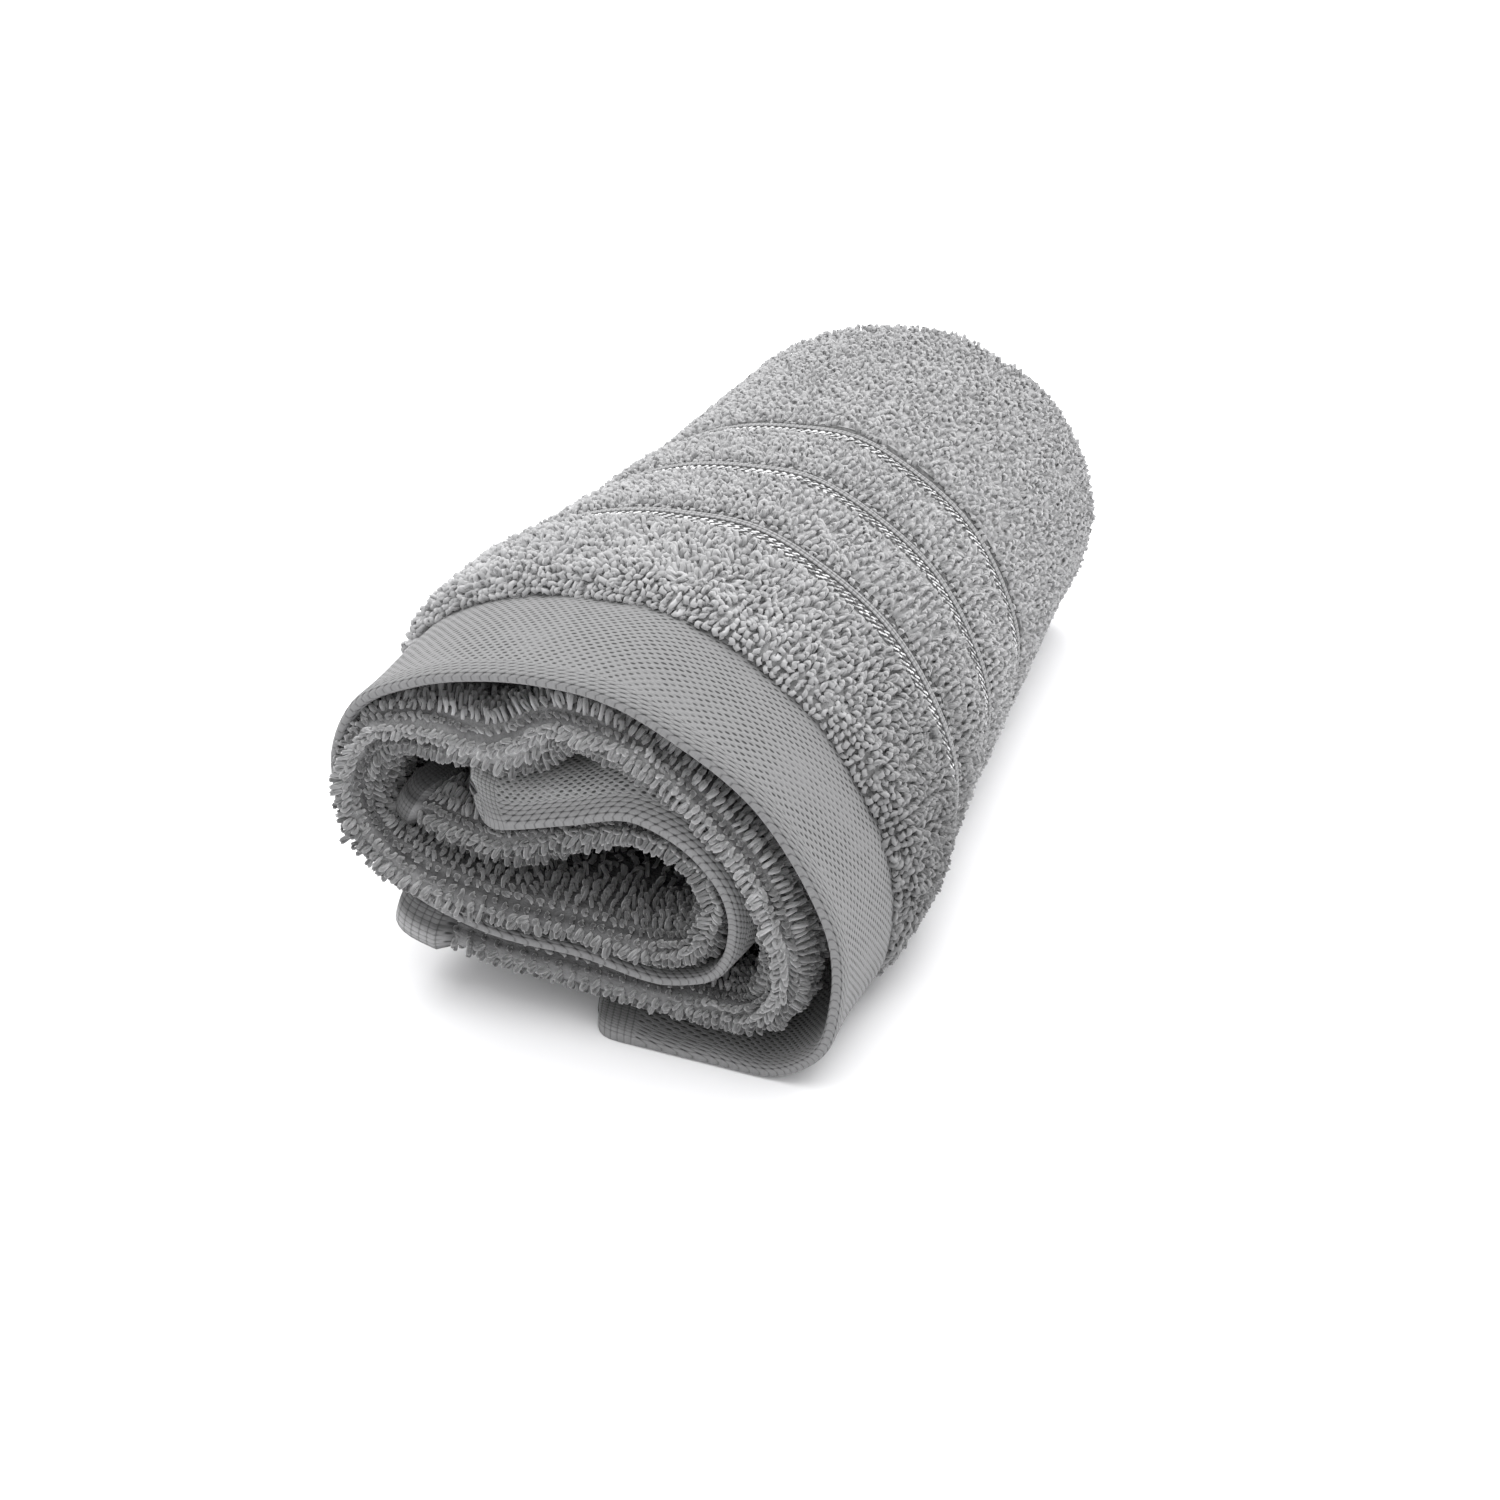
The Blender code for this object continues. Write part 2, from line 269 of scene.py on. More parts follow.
@dataclass
class RollForm:
    """The wound form of the towel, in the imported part's own frame."""

    length: float = 256.0
    hem_depth: float = 33.0
    hem_step: float = 6.0
    stripe_centres: tuple[float, ...] = (70.0, 108.0, 145.0)
    stripe_width: float = 8.0
    stripe_slope: float = 2.5
    stripe_sink: float = 2.0
    stripe_depth: float = 1.0
    ends_meet: float = 242.0
    back_round: float = 9.0
    at_back: tuple[float, float] = (0.3, 29.4)
    hem_half: float = 1.25
    pair_half: float = 4.5
    centring: tuple[float, float] = (0.577, -126.5)
    # How much further the outer layer's inner end reaches, in rows of BENDS, and where that starts and ends.
    end_flare: float = 0.36
    flare_rise: float = 11.0
    flare_fall: tuple[float, float] = (40.0, 120.0)
    # How far the inner end curls outwards, over which share of the width, and how soon past the edge.
    curl: float = 3.0
    curl_share: tuple[float, float] = (0.8, 0.9)
    curl_rise: float = 12.0
    # Where along the roll each column of SLACK takes hold and lets go.
    edge_fall: tuple[float, float] = (-10.0, 20.0)
    band_rise: tuple[float, float] = (6.0, 34.0)
    band_fall: tuple[float, float] = (52.0, 95.0)
    back_rise: tuple[float, float] = (150.0, 230.0)

    def column(self, name: str) -> np.ndarray:
        """One column of the tables of bends.

        Args:
            name: The column's name, in whichever table has it.

        Returns:
            A number for each row of BENDS, 0 at the bends that the table leaves out.
        """
        for columns, table in ((BEND_COLUMNS, BENDS), (SLACK_COLUMNS, SLACK), (RIDGE_COLUMNS, RIDGE)):
            if name in columns:
                k = columns.index(name)
                return np.array([table[bend][k] if bend in table else 0.0 for bend in BENDS])
        raise KeyError(name)

    def rows(self, layer: Layer, share: np.ndarray, y: float) -> np.ndarray:
        """The row numbers of the stations, whose ends drift from the front to the back.

        Args:
            layer: The outer layer or the folded pair.
            share: Each station's place round the roll, from 0 to 1.
            y: The place along the roll, from the hem's edge.

        Returns:
            A row number in the table of bends for each station.
        """
        drift = ease(y, self.ends_meet)
        start, end = (
            front + drift * (back - front) for front, back in zip(layer.at_front, self.at_back)
        )
        if layer is Layer.OUTER:
            flare = ease(y, self.flare_rise) * (1 - float(smooth(*self.flare_fall, y)))
            end += self.end_flare * flare
        return start + share * (end - start)

    def read(self, name: str, layer: Layer, share: np.ndarray, y: float) -> np.ndarray:
        """A column of the tables of bends, read at the stations."""
        return np.interp(self.rows(layer, share, y), np.arange(len(BENDS)), self.column(name))

    def slack(self, share: np.ndarray, y: float) -> np.ndarray:
        """How far the outer layer bulges out.

        Args:
            share: Each station's place round the roll, from 0 to 1.
            y: The place along the roll, from the hem's edge.

        Returns:
            A distance for each station, below 0 where the layer sags.
        """
        weights = {
            "edge": 1 - smooth(*self.edge_fall, y),
            "band": smooth(*self.band_rise, y) * (1 - smooth(*self.band_fall, y)),
            "back": smooth(*self.back_rise, y),
        }
        return sum(weight * self.read(name, Layer.OUTER, share, y) for name, weight in weights.items())

    def at(self, layer: Layer, share: np.ndarray, y: float, out: Numbers) -> np.ndarray:
        """Points of a layer.

        Args:
            layer: The outer layer or the folded pair.
            share: Each station's place round the roll, from 0 to 1.
            y: The place along the roll, from the hem's edge.
            out: How far the points lie outside the layer's middle line.

        Returns:
            One point a station, in millimetres, in the part's frame.
        """
        points = np.column_stack([self.column(name) for name in layer.columns])
        place, heading = curve_through(points, self.rows(layer, share, y))
        grow = 1 + np.interp(y, FULLNESS["place"], FULLNESS["grow"])
        shift = np.interp(y, FULLNESS["place"], FULLNESS["shift"])
        place = (place - (0.0, self.hem_half)) * grow + (shift, self.hem_half)
        outward = np.column_stack([heading[:, 1], -heading[:, 0]])
        if layer is Layer.OUTER:
            out = out + self.slack(share, y)
            out = out + self.curl * smooth(*self.curl_share, share) * ease(y, self.curl_rise)
        moved = place + outward * np.reshape(out, (-1, 1))
        x, z = moved[:, 0] + self.centring[0], moved[:, 1]
        return np.column_stack([x, np.full(len(x), y + self.centring[1]), z])

    def sink(self, y: float) -> float:
        """How far the solid sinks in the grooves of the woven stripes.

        Args:
            y: The place along the roll, from the hem's edge.

        Returns:
            The depth there.
        """
        half = self.stripe_width / 2
        low = half - self.stripe_slope
        depths = [1 - float(smooth(low, half, abs(y - c))) for c in self.stripe_centres]
        return self.stripe_sink * sum(depths)

    def face(self, share: np.ndarray, y: float) -> np.ndarray:
        """How far the solid's outer side lies outside the outer layer's middle line.

        Args:
            share: Each station's place round the roll, from 0 to 1.
            y: The place along the roll, from the hem's edge.

        Returns:
            A distance for each station.
        """
        swell = self.read("swell", Layer.OUTER, share, y)
        half_step = self.hem_step / 2
        rise = smooth(self.hem_depth - half_step, self.hem_depth + half_step, y)
        return self.hem_half + swell * rise - np.minimum(swell, self.sink(y))

    def stripe_face(self, share: np.ndarray, y: float) -> np.ndarray:
        """How far the woven stripes' cloth lies outside the outer layer's middle line."""
        swell = self.read("swell", Layer.OUTER, share, y)
        return self.hem_half + swell - np.minimum(swell, self.stripe_depth)


class NodeSheet:
    """Adds nodes to one tree, sets them and joins them."""

    def __init__(self, tree: bpy.types.NodeTree) -> None:
        """Keep the tree that the nodes go into."""
        self.tree = tree

    def feed(self, socket: bpy.types.NodeSocket, value: object) -> None:
        """Set a socket.

        Args:
            socket: The input to set.
            value: A node or an output to join to it, or a plain value.
        """
        if isinstance(value, bpy.types.Node):
            value = value.outputs[0]
        if isinstance(value, bpy.types.NodeSocket):
            self.tree.links.new(value, socket)
        else:
            socket.default_value = value

    def add(self, kind: str, feeds: dict | None = None, **settings: object) -> bpy.types.Node:
        """Add a node.

        Args:
            kind: The node's type.
            feeds: What goes into its inputs, by name or number.
            settings: The node's own properties.

        Returns:
            The node.
        """
        node = self.tree.nodes.new(kind)
        for name, value in settings.items():
            setattr(node, name, value)
        for key, value in (feeds or {}).items():
            self.feed(node.inputs[key], value)
        return node

    def math(self, operation: str, *values: object) -> bpy.types.Node:
        """Add a Math node for a material or for Geometry Nodes."""
        return self.add("ShaderNodeMath", dict(enumerate(values)), operation=operation)

    def vector(self, operation: str, *values: object) -> bpy.types.Node:
        """Add a Vector Math node."""
        return self.add("ShaderNodeVectorMath", dict(enumerate(values)), operation=operation)

    def step(
        self, value: object, low: float, high: float, to_low: float = 0.0, to_high: float = 1.0
    ) -> bpy.types.Node:
        """Add a soft step from `to_low` at `low` to `to_high` at `high`."""
        feeds = {"Value": value, "From Min": low, "From Max": high, "To Min": to_low, "To Max": to_high}
        return self.add("ShaderNodeMapRange", feeds, interpolation_type="SMOOTHSTEP")

    def mix(self, factor: object, a: object, b: object) -> bpy.types.NodeSocket:
        """Add a Mix node for two colours and give its result."""
        node = self.add("ShaderNodeMix", {0: factor, 6: a, 7: b}, data_type="RGBA")
        return node.outputs[2]

    def scaled(self, vector: object, factor: object) -> bpy.types.Node:
        """Scale a vector or a colour by a number."""
        return self.add("ShaderNodeVectorMath", {0: vector, "Scale": factor}, operation="SCALE")

    def noise(self, place: object, size: float, detail: float = 2.0) -> bpy.types.NodeSocket:
        """Add noise whose features are `size` millimetres wide, and give its number."""
        feeds = {"Vector": place, "Scale": 1 / (size * MM), "Detail": detail}
        return self.add("ShaderNodeTexNoise", feeds).outputs["Fac"]

    def attribute(self, name: str) -> bpy.types.NodeSocket:
        """Read a number that the piece carries under a name."""
        return self.add("ShaderNodeAttribute", attribute_name=name).outputs["Fac"]

    def relief(self, shader: bpy.types.Node, height: object, strength: float, depth: float) -> None:
        """Give a shader a bump: `depth` is in millimetres."""
        bump = self.add("ShaderNodeBump", {"Height": height, "Strength": strength, "Distance": depth * MM})
        self.feed(shader.inputs["Normal"], bump)

    def paint(self, shader: bpy.types.Node, blend: object, dark: float, light: float, tint: object) -> None:
        """Colour a shader between two greys, and scale the colour by a tint.

        Args:
            shader: The material's shader.
            blend: 0 for the dark grey and 1 for the light one.
            dark: The dark grey.
            light: The light grey.
            tint: What the colour is scaled by.
        """
        colour = self.mix(blend, grey(dark), grey(light))
        self.feed(shader.inputs["Base Color"], self.scaled(colour, tint))


def grey(value: float) -> tuple[float, float, float, float]:
    """A near-neutral colour, a little cool."""
    return (value, value, value * COOL, 1.0)


def new_material(
    name: str, rough: float, gloss: float, sheen: float = 0.0
) -> tuple[bpy.types.Material, NodeSheet, bpy.types.Node]:
    """Start a material.

    Args:
        name: The material's name.
        rough: How rough it is.
        gloss: How strongly it reflects.
        sheen: How much light its fuzz catches.

    Returns:
        The material, the sheet of its nodes and its Principled shader.
    """
    material = bpy.data.materials.new(name)
    material.use_nodes = True
    shader = material.node_tree.nodes["Principled BSDF"]
    shader.inputs["Roughness"].default_value = rough
    shader.inputs["Specular IOR Level"].default_value = gloss
    shader.inputs["Sheen Weight"].default_value = sheen
    return material, NodeSheet(material.node_tree), shader


@dataclass(frozen=True)
class PileCotton:
    """Soft two-ply cotton yarn, which stands in loops. Their feet are painted lighter: painted light between
    them.
    """

    name: str = "terry_loops"
    light: float = 0.40
    dark: float = 0.35
    # How much lighter the loops' feet are painted: painted light between their feet.
    foot: float = 2.0
    patch_size: float = 9.0
    patch_share: float = 0.5
    tone_share: float = 0.6
    fibre_size: float = 0.35
    fibre_relief: float = 0.3
    fibre_depth: float = 0.12
    gloss: float = 0.05
    sheen: float = 0.5

    def material(self) -> bpy.types.Material:
        """Build the material from the loops' own tone and rise and from noise across the pile.

        Returns:
            The material.
        """
        material, sheet, shader = new_material(self.name, 1.0, self.gloss, self.sheen)
        shader.inputs["Diffuse Roughness"].default_value = 1.0
        place = sheet.add("ShaderNodeTexCoord").outputs["Object"]
        patch = sheet.noise(place, self.patch_size)
        own = sheet.math("MULTIPLY", sheet.attribute("tone"), self.tone_share)
        blend = sheet.math("MULTIPLY_ADD", patch, self.patch_share, own)
        # Painted light at the loops' feet, with the painted shade and painted light that the pile's shade
        # carries.
        foot = sheet.step(sheet.attribute("rise"), 0.0, 1.0, self.foot, 1.0)
        tint = sheet.math("MULTIPLY", foot, sheet.attribute("shade"))
        sheet.paint(shader, blend, self.dark, self.light, tint)
        fibre = sheet.noise(place, self.fibre_size, 3.0)
        sheet.relief(shader, fibre, self.fibre_relief, self.fibre_depth)
        return material


@dataclass(frozen=True)
class HemWeave:
    """The flat weave of the hem: staggered rows of short dark slots, rope lines at its edge, and
    ribs along the selvedges. It reads the cloth's own UV map, in metres round and along it."""

    name: str = "hem_weave"
    light: float = 0.196
    dark: float = 0.032
    slot_pitch: float = 2.0
    row_pitch: float = 0.95
    skew: float = 0.25
    rope_slot: float = 2.2
    rope_pitch: float = 1.1
    rope_skew: float = 1.7
    rope_depth: float = 5.5
    rope_soft: float = 0.4
    rib_pitch: float = 1.0
    rib_cross: float = 0.9
    rib_depth: float = 7.0
    rib_soft: float = 0.8
    cloth_width: float = 406.0
    # Half a slot's length and width, as shares of the two pitches, where its edge starts and ends, and
    # how shallow the shallowest slot is and how much deeper others are.
    slot_half: tuple[float, float] = (0.34, 0.42)
    slot_edge: tuple[float, float] = (0.3, 1.2)
    slot_depths: tuple[float, float] = (0.8, 0.3)
    # Cloudy wear, which fills some slots a little.
    wear_size: float = 14.0
    wear_reach: tuple[float, float] = (0.35, 0.6)
    wear: tuple[float, float] = (0.75, 1.0)
    # How high the yarn stands between the slots, and the ropes and the ribs with the level they start
    # from. Where the height is below the first shaded number the yarn looks dark.
    weft_height: float = 0.35
    rope_height: tuple[float, float] = (0.6, -0.95)
    rib_height: tuple[float, float] = (0.7, -0.4)
    shaded: tuple[float, float] = (-0.6, 0.05)
    fuzz_size: float = 0.5
    fuzz_height: float = 0.35
    fuzz_tint: tuple[float, float] = (0.5, 0.75)
    relief: float = 0.8
    relief_depth: float = 0.22
    sharpness: float = 0.6
    rough: float = 0.9
    gloss: float = 0.25
    sheen: float = 0.15

    def slots(self, sheet: NodeSheet, u: object, v: object) -> bpy.types.Node:
        """A pattern of staggered slots.

        Args:
            sheet: The material's nodes.
            u: The place round the cloth, in millimetres.
            v: The place along it.

        Returns:
            A node that gives 1 in a slot and 0 on the yarn.
        """
        row_place = sheet.math("DIVIDE", v, self.row_pitch)
        row = sheet.math("FLOOR", row_place)
        down = sheet.math("SUBTRACT", sheet.math("FRACT", row_place), 0.5)
        shift = sheet.math("MULTIPLY", sheet.math("MODULO", row, 2.0), 0.5)
        slant = sheet.math("MULTIPLY_ADD", down, self.skew, shift)
        slot_place = sheet.math("ADD", sheet.math("DIVIDE", u, self.slot_pitch), slant)
        slot = sheet.math("FLOOR", slot_place)
        across = sheet.math("SUBTRACT", sheet.math("FRACT", slot_place), 0.5)
        reach_u, reach_v = (
            sheet.math("POWER", sheet.math("DIVIDE", sheet.math("ABSOLUTE", way), half), 2.0)
            for way, half in zip((across, down), self.slot_half)
        )
        reach = sheet.math("SQRT", sheet.math("ADD", reach_u, reach_v))
        hole = sheet.step(reach, *self.slot_edge, 1.0, 0.0)
        cell = sheet.add("ShaderNodeCombineXYZ", {0: slot, 1: row})
        chance = sheet.add("ShaderNodeTexWhiteNoise", {"Vector": cell}, noise_dimensions="2D")
        least, more = self.slot_depths
        depth = sheet.math("MULTIPLY_ADD", chance.outputs["Value"], more, least)
        return sheet.math("MULTIPLY", hole, depth)

    def stripes(self, sheet: NodeSheet, place: object, pitch: float) -> bpy.types.Node:
        """Rounded ridges across `place`: 1 on top of each and 0 between them."""
        wave = sheet.math("SINE", sheet.math("MULTIPLY", place, math.pi / pitch))
        return sheet.math("POWER", sheet.math("ABSOLUTE", wave), self.sharpness)

    def material(self) -> bpy.types.Material:
        """Build the material from the slots, the rope lines and the ribs.

        Returns:
            The material.
        """
        material, sheet, shader = new_material(self.name, self.rough, self.gloss, self.sheen)
        uv = sheet.add("ShaderNodeUVMap", uv_map="UVMap")
        parts = sheet.add("ShaderNodeSeparateXYZ", {0: uv})
        u, v = (sheet.math("MULTIPLY", parts.outputs[k], 1 / MM) for k in range(2))
        worn = sheet.step(sheet.noise(uv, self.wear_size), *self.wear_reach, *self.wear)
        slots = sheet.math("MULTIPLY", self.slots(sheet, u, v), worn)
        weft = sheet.math("MULTIPLY", self.stripes(sheet, v, self.row_pitch), self.weft_height)
        plain = sheet.math("SUBTRACT", weft, slots)
        share, level = self.rope_height
        ropes = sheet.math("MULTIPLY_ADD", self.stripes(sheet, v, self.rope_pitch), share, level)
        slanted = sheet.math("MULTIPLY_ADD", v, self.rope_skew, u)
        strands = self.stripes(sheet, slanted, self.rope_slot)
        ropes = sheet.math("MULTIPLY_ADD", strands, share, ropes)
        edge = sheet.step(v, self.rope_depth, self.rope_depth - self.rope_soft)
        roped = self.between(sheet, edge, plain, ropes)
        rib, cross = self.stripes(sheet, u, self.rib_pitch), self.stripes(sheet, v, self.rib_cross)
        ribs = sheet.math("MULTIPLY_ADD", sheet.math("MULTIPLY", rib, cross), *self.rib_height)
        end = sheet.math("MINIMUM", u, sheet.math("SUBTRACT", self.cloth_width, u))
        selvedge = sheet.step(end, self.rib_depth, self.rib_depth - self.rib_soft)
        height = self.between(sheet, selvedge, roped, ribs)
        fuzz = sheet.noise(uv, self.fuzz_size, 3.0)
        fuzzy = sheet.math("MULTIPLY_ADD", fuzz, *self.fuzz_tint)
        # The cloth's shade carries painted light on the hem wound inside and painted shade from the pair's
        # rows.
        tint = sheet.math("MULTIPLY", fuzzy, sheet.attribute("shade"))
        sheet.paint(shader, sheet.step(height, *self.shaded), self.dark, self.light, tint)
        bumpy = sheet.math("MULTIPLY_ADD", fuzz, self.fuzz_height, height)
        sheet.relief(shader, bumpy, self.relief, self.relief_depth)
        return material

    def between(self, sheet: NodeSheet, factor: object, a: object, b: object) -> bpy.types.Node:
        """Mix two numbers: `a` where the factor is 0, and `b` where it is 1."""
        return sheet.math("ADD", a, sheet.math("MULTIPLY", factor, sheet.math("SUBTRACT", b, a)))


@dataclass(frozen=True)
class GroundCloth:
    """The plain cloth that the loops or the floats stand on."""

    name: str
    light: float
    dark: float
    grain: float = 0.9
    relief: float = 0.8
    relief_depth: float = 0.3
    rough: float = 0.95
    gloss: float = 0.2

    def material(self) -> bpy.types.Material:
        """Build the material from noise at the size of a yarn.

        Returns:
            The material.
        """
        material, sheet, shader = new_material(self.name, self.rough, self.gloss)
        uv = sheet.add("ShaderNodeUVMap", uv_map="UVMap")
        fine = sheet.step(sheet.noise(uv, self.grain, 3.0), 0.3, 0.7)
        # The cloth's shade puts the rows' painted shade and painted light on the ground.
        sheet.paint(shader, fine, self.dark, self.light, sheet.attribute("shade"))
        sheet.relief(shader, fine, self.relief, self.relief_depth)
        return material


@dataclass(frozen=True)
class BandYarn:
    """The yarn of the woven stripes: dull in the cords, and in the floats glossy as satin and painted near
    white, a painted highlight for its glints.
    """

    name: str
    light: float
    dark: float
    rough: float
    gloss: float
    strand_pitch: float = 0.55
    twist_pitch: float = 1.2
    twist_depth: float = 0.0
    relief: float = 0.5
    relief_depth: float = 0.15

    def material(self) -> bpy.types.Material:
        """Build the material, with fine strands and, in a twisted yarn, the shade of each turn.

        Returns:
            The material.
        """
        material, sheet, shader = new_material(self.name, self.rough, self.gloss)
        place = sheet.add("ShaderNodeTexCoord").outputs["Object"]
        along = sheet.math("MULTIPLY", sheet.attribute("run"), math.pi / (self.twist_pitch * MM))
        turns = sheet.math("ABSOLUTE", sheet.math("SINE", along))
        groove = sheet.math("POWER", sheet.math("SUBTRACT", 1.0, turns), 2.0)
        lit = sheet.math("SUBTRACT", 1.0, sheet.math("MULTIPLY", groove, self.twist_depth))
        sheet.paint(shader, sheet.attribute("tone"), self.dark, self.light, lit)
        strands = sheet.noise(place, self.strand_pitch, 1.0)
        sheet.relief(shader, strands, self.relief, self.relief_depth)
        return material


@dataclass(frozen=True)
class PaperWhite:
    """The plain pale surface that the towel lies on."""

    name: str = "pale_floor"
    white: float = 0.86
    shadow: float = 0.995
    cloud_scale: float = 3.0

    def material(self) -> bpy.types.Material:
        """Build the material, matt and with the faintest unevenness.

        Returns:
            The material.
        """
        material, sheet, shader = new_material(self.name, 1.0, 0.0)
        place = sheet.add("ShaderNodeTexCoord").outputs["Object"]
        cloud = sheet.add("ShaderNodeTexNoise", {"Vector": place, "Scale": self.cloud_scale})
        low, high = grey(self.white * self.shadow), grey(self.white)
        sheet.feed(shader.inputs["Base Color"], sheet.mix(cloud.outputs["Fac"], low, high))
        return material


def mesh_object(name: str, points: np.ndarray, faces: list[tuple[int, ...]]) -> bpy.types.Object:
    """Make an object from points in millimetres.

    Args:
        name: The object's name.
        points: One point a row.
        faces: Corner numbers of each face.

    Returns:
        The object, linked to the scene and shaded smooth.
    """
    mesh = bpy.data.meshes.new(name)
    mesh.from_pydata((points * MM).tolist(), [], faces)
    mesh.update()
    mesh.shade_smooth()
    thing = bpy.data.objects.new(name, mesh)
    bpy.context.scene.collection.objects.link(thing)
    return thing


def grid_faces(numbers: np.ndarray) -> list[tuple[int, int, int, int]]:
    """The faces of a grid.

    Args:
        numbers: The corners' numbers, row by row.

    Returns:
        Four corner numbers for each face, all turned the same way.
    """
    a, b = numbers[:-1, :-1].ravel(), numbers[:-1, 1:].ravel()
    c, d = numbers[1:, 1:].ravel(), numbers[1:, :-1].ravel()
    return list(zip(a.tolist(), b.tolist(), c.tolist(), d.tolist()))


def tube_faces(points: np.ndarray) -> list[tuple[int, ...]]:
    """The faces of a closed tube.

    Args:
        points: Its points, ring by ring.

    Returns:
        The corner numbers of each face, those of its two ends last.
    """
    numbers = np.arange(points.shape[0] * points.shape[1]).reshape(points.shape[:2])
    wrapped = np.column_stack([numbers, numbers[:, :1]])
    return grid_faces(wrapped) + [tuple(numbers[0][::-1].tolist()), tuple(numbers[-1].tolist())]


def set_attribute(mesh: bpy.types.Mesh, name: str, values: np.ndarray) -> None:
    """Give a mesh's points an attribute.

    Args:
        mesh: The mesh.
        name: The attribute's name.
        values: A number a point, or three numbers a point for a direction.
    """
    values = np.asarray(values, np.float32)
    kind, key = ("FLOAT_VECTOR", "vector") if values.ndim == 2 else ("FLOAT", "value")
    mesh.attributes.new(name, kind, "POINT").data.foreach_set(key, values.ravel())


@dataclass
class ClothRow:
    """One row of the cloth's grid, right across the towel, with a point on both faces a station."""

    show: np.ndarray
    back: np.ndarray
    zone: Zone
    pile: np.ndarray
    lean: np.ndarray
    shade: np.ndarray


@dataclass(frozen=True)
class StripeSide:
    """How loops lie on one side of a woven stripe: how far they lean, how much of their length they keep and
    how much painted shade darkens them there. Each effect ends at a distance of its own."""

    lean: float
    lean_fade: float
    kept: float
    kept_reach: float
    painted_parting_shade: float
    painted_parting_shade_fade: float


# The rows of the cloth's grid, as places along the roll, in the order that the cloth runs in. The rows
# of a hem's edge also have how much of the cloth's half thickness is left there.
ROWS = {
    "hem": (3.0, 6.0, 10.0, 14.0, 18.0, 22.0, 26.0, 29.0, 31.4),
    "outer leaf": (245.0, 228.0, 205.0, 180.0, 150.0, 110.0, 75.0, 50.0, 33.0),
    "behind the ridge": (24.0, 17.0),
    "ridge's outer side": (12.5, 9.5),
    "ridge's inner side": (9.5, 12.5, 17.0),
    "hollow": (24.0, 31.0, 38.0, 45.0, 52.0),
    "inner leaf": (75.0, 110.0, 150.0, 180.0, 205.0),
    "inner hem": (211.0, 213.0, 222.0, 232.0, 241.0),
}
EDGE_ROWS = {
    "hem": ((0.0, 0.3), (0.2, 0.62), (0.6, 0.86), (1.25, 1.0)),
    "inner hem": ((242.7, 1.0), (243.5, 0.8), (243.9, 0.35)),
}


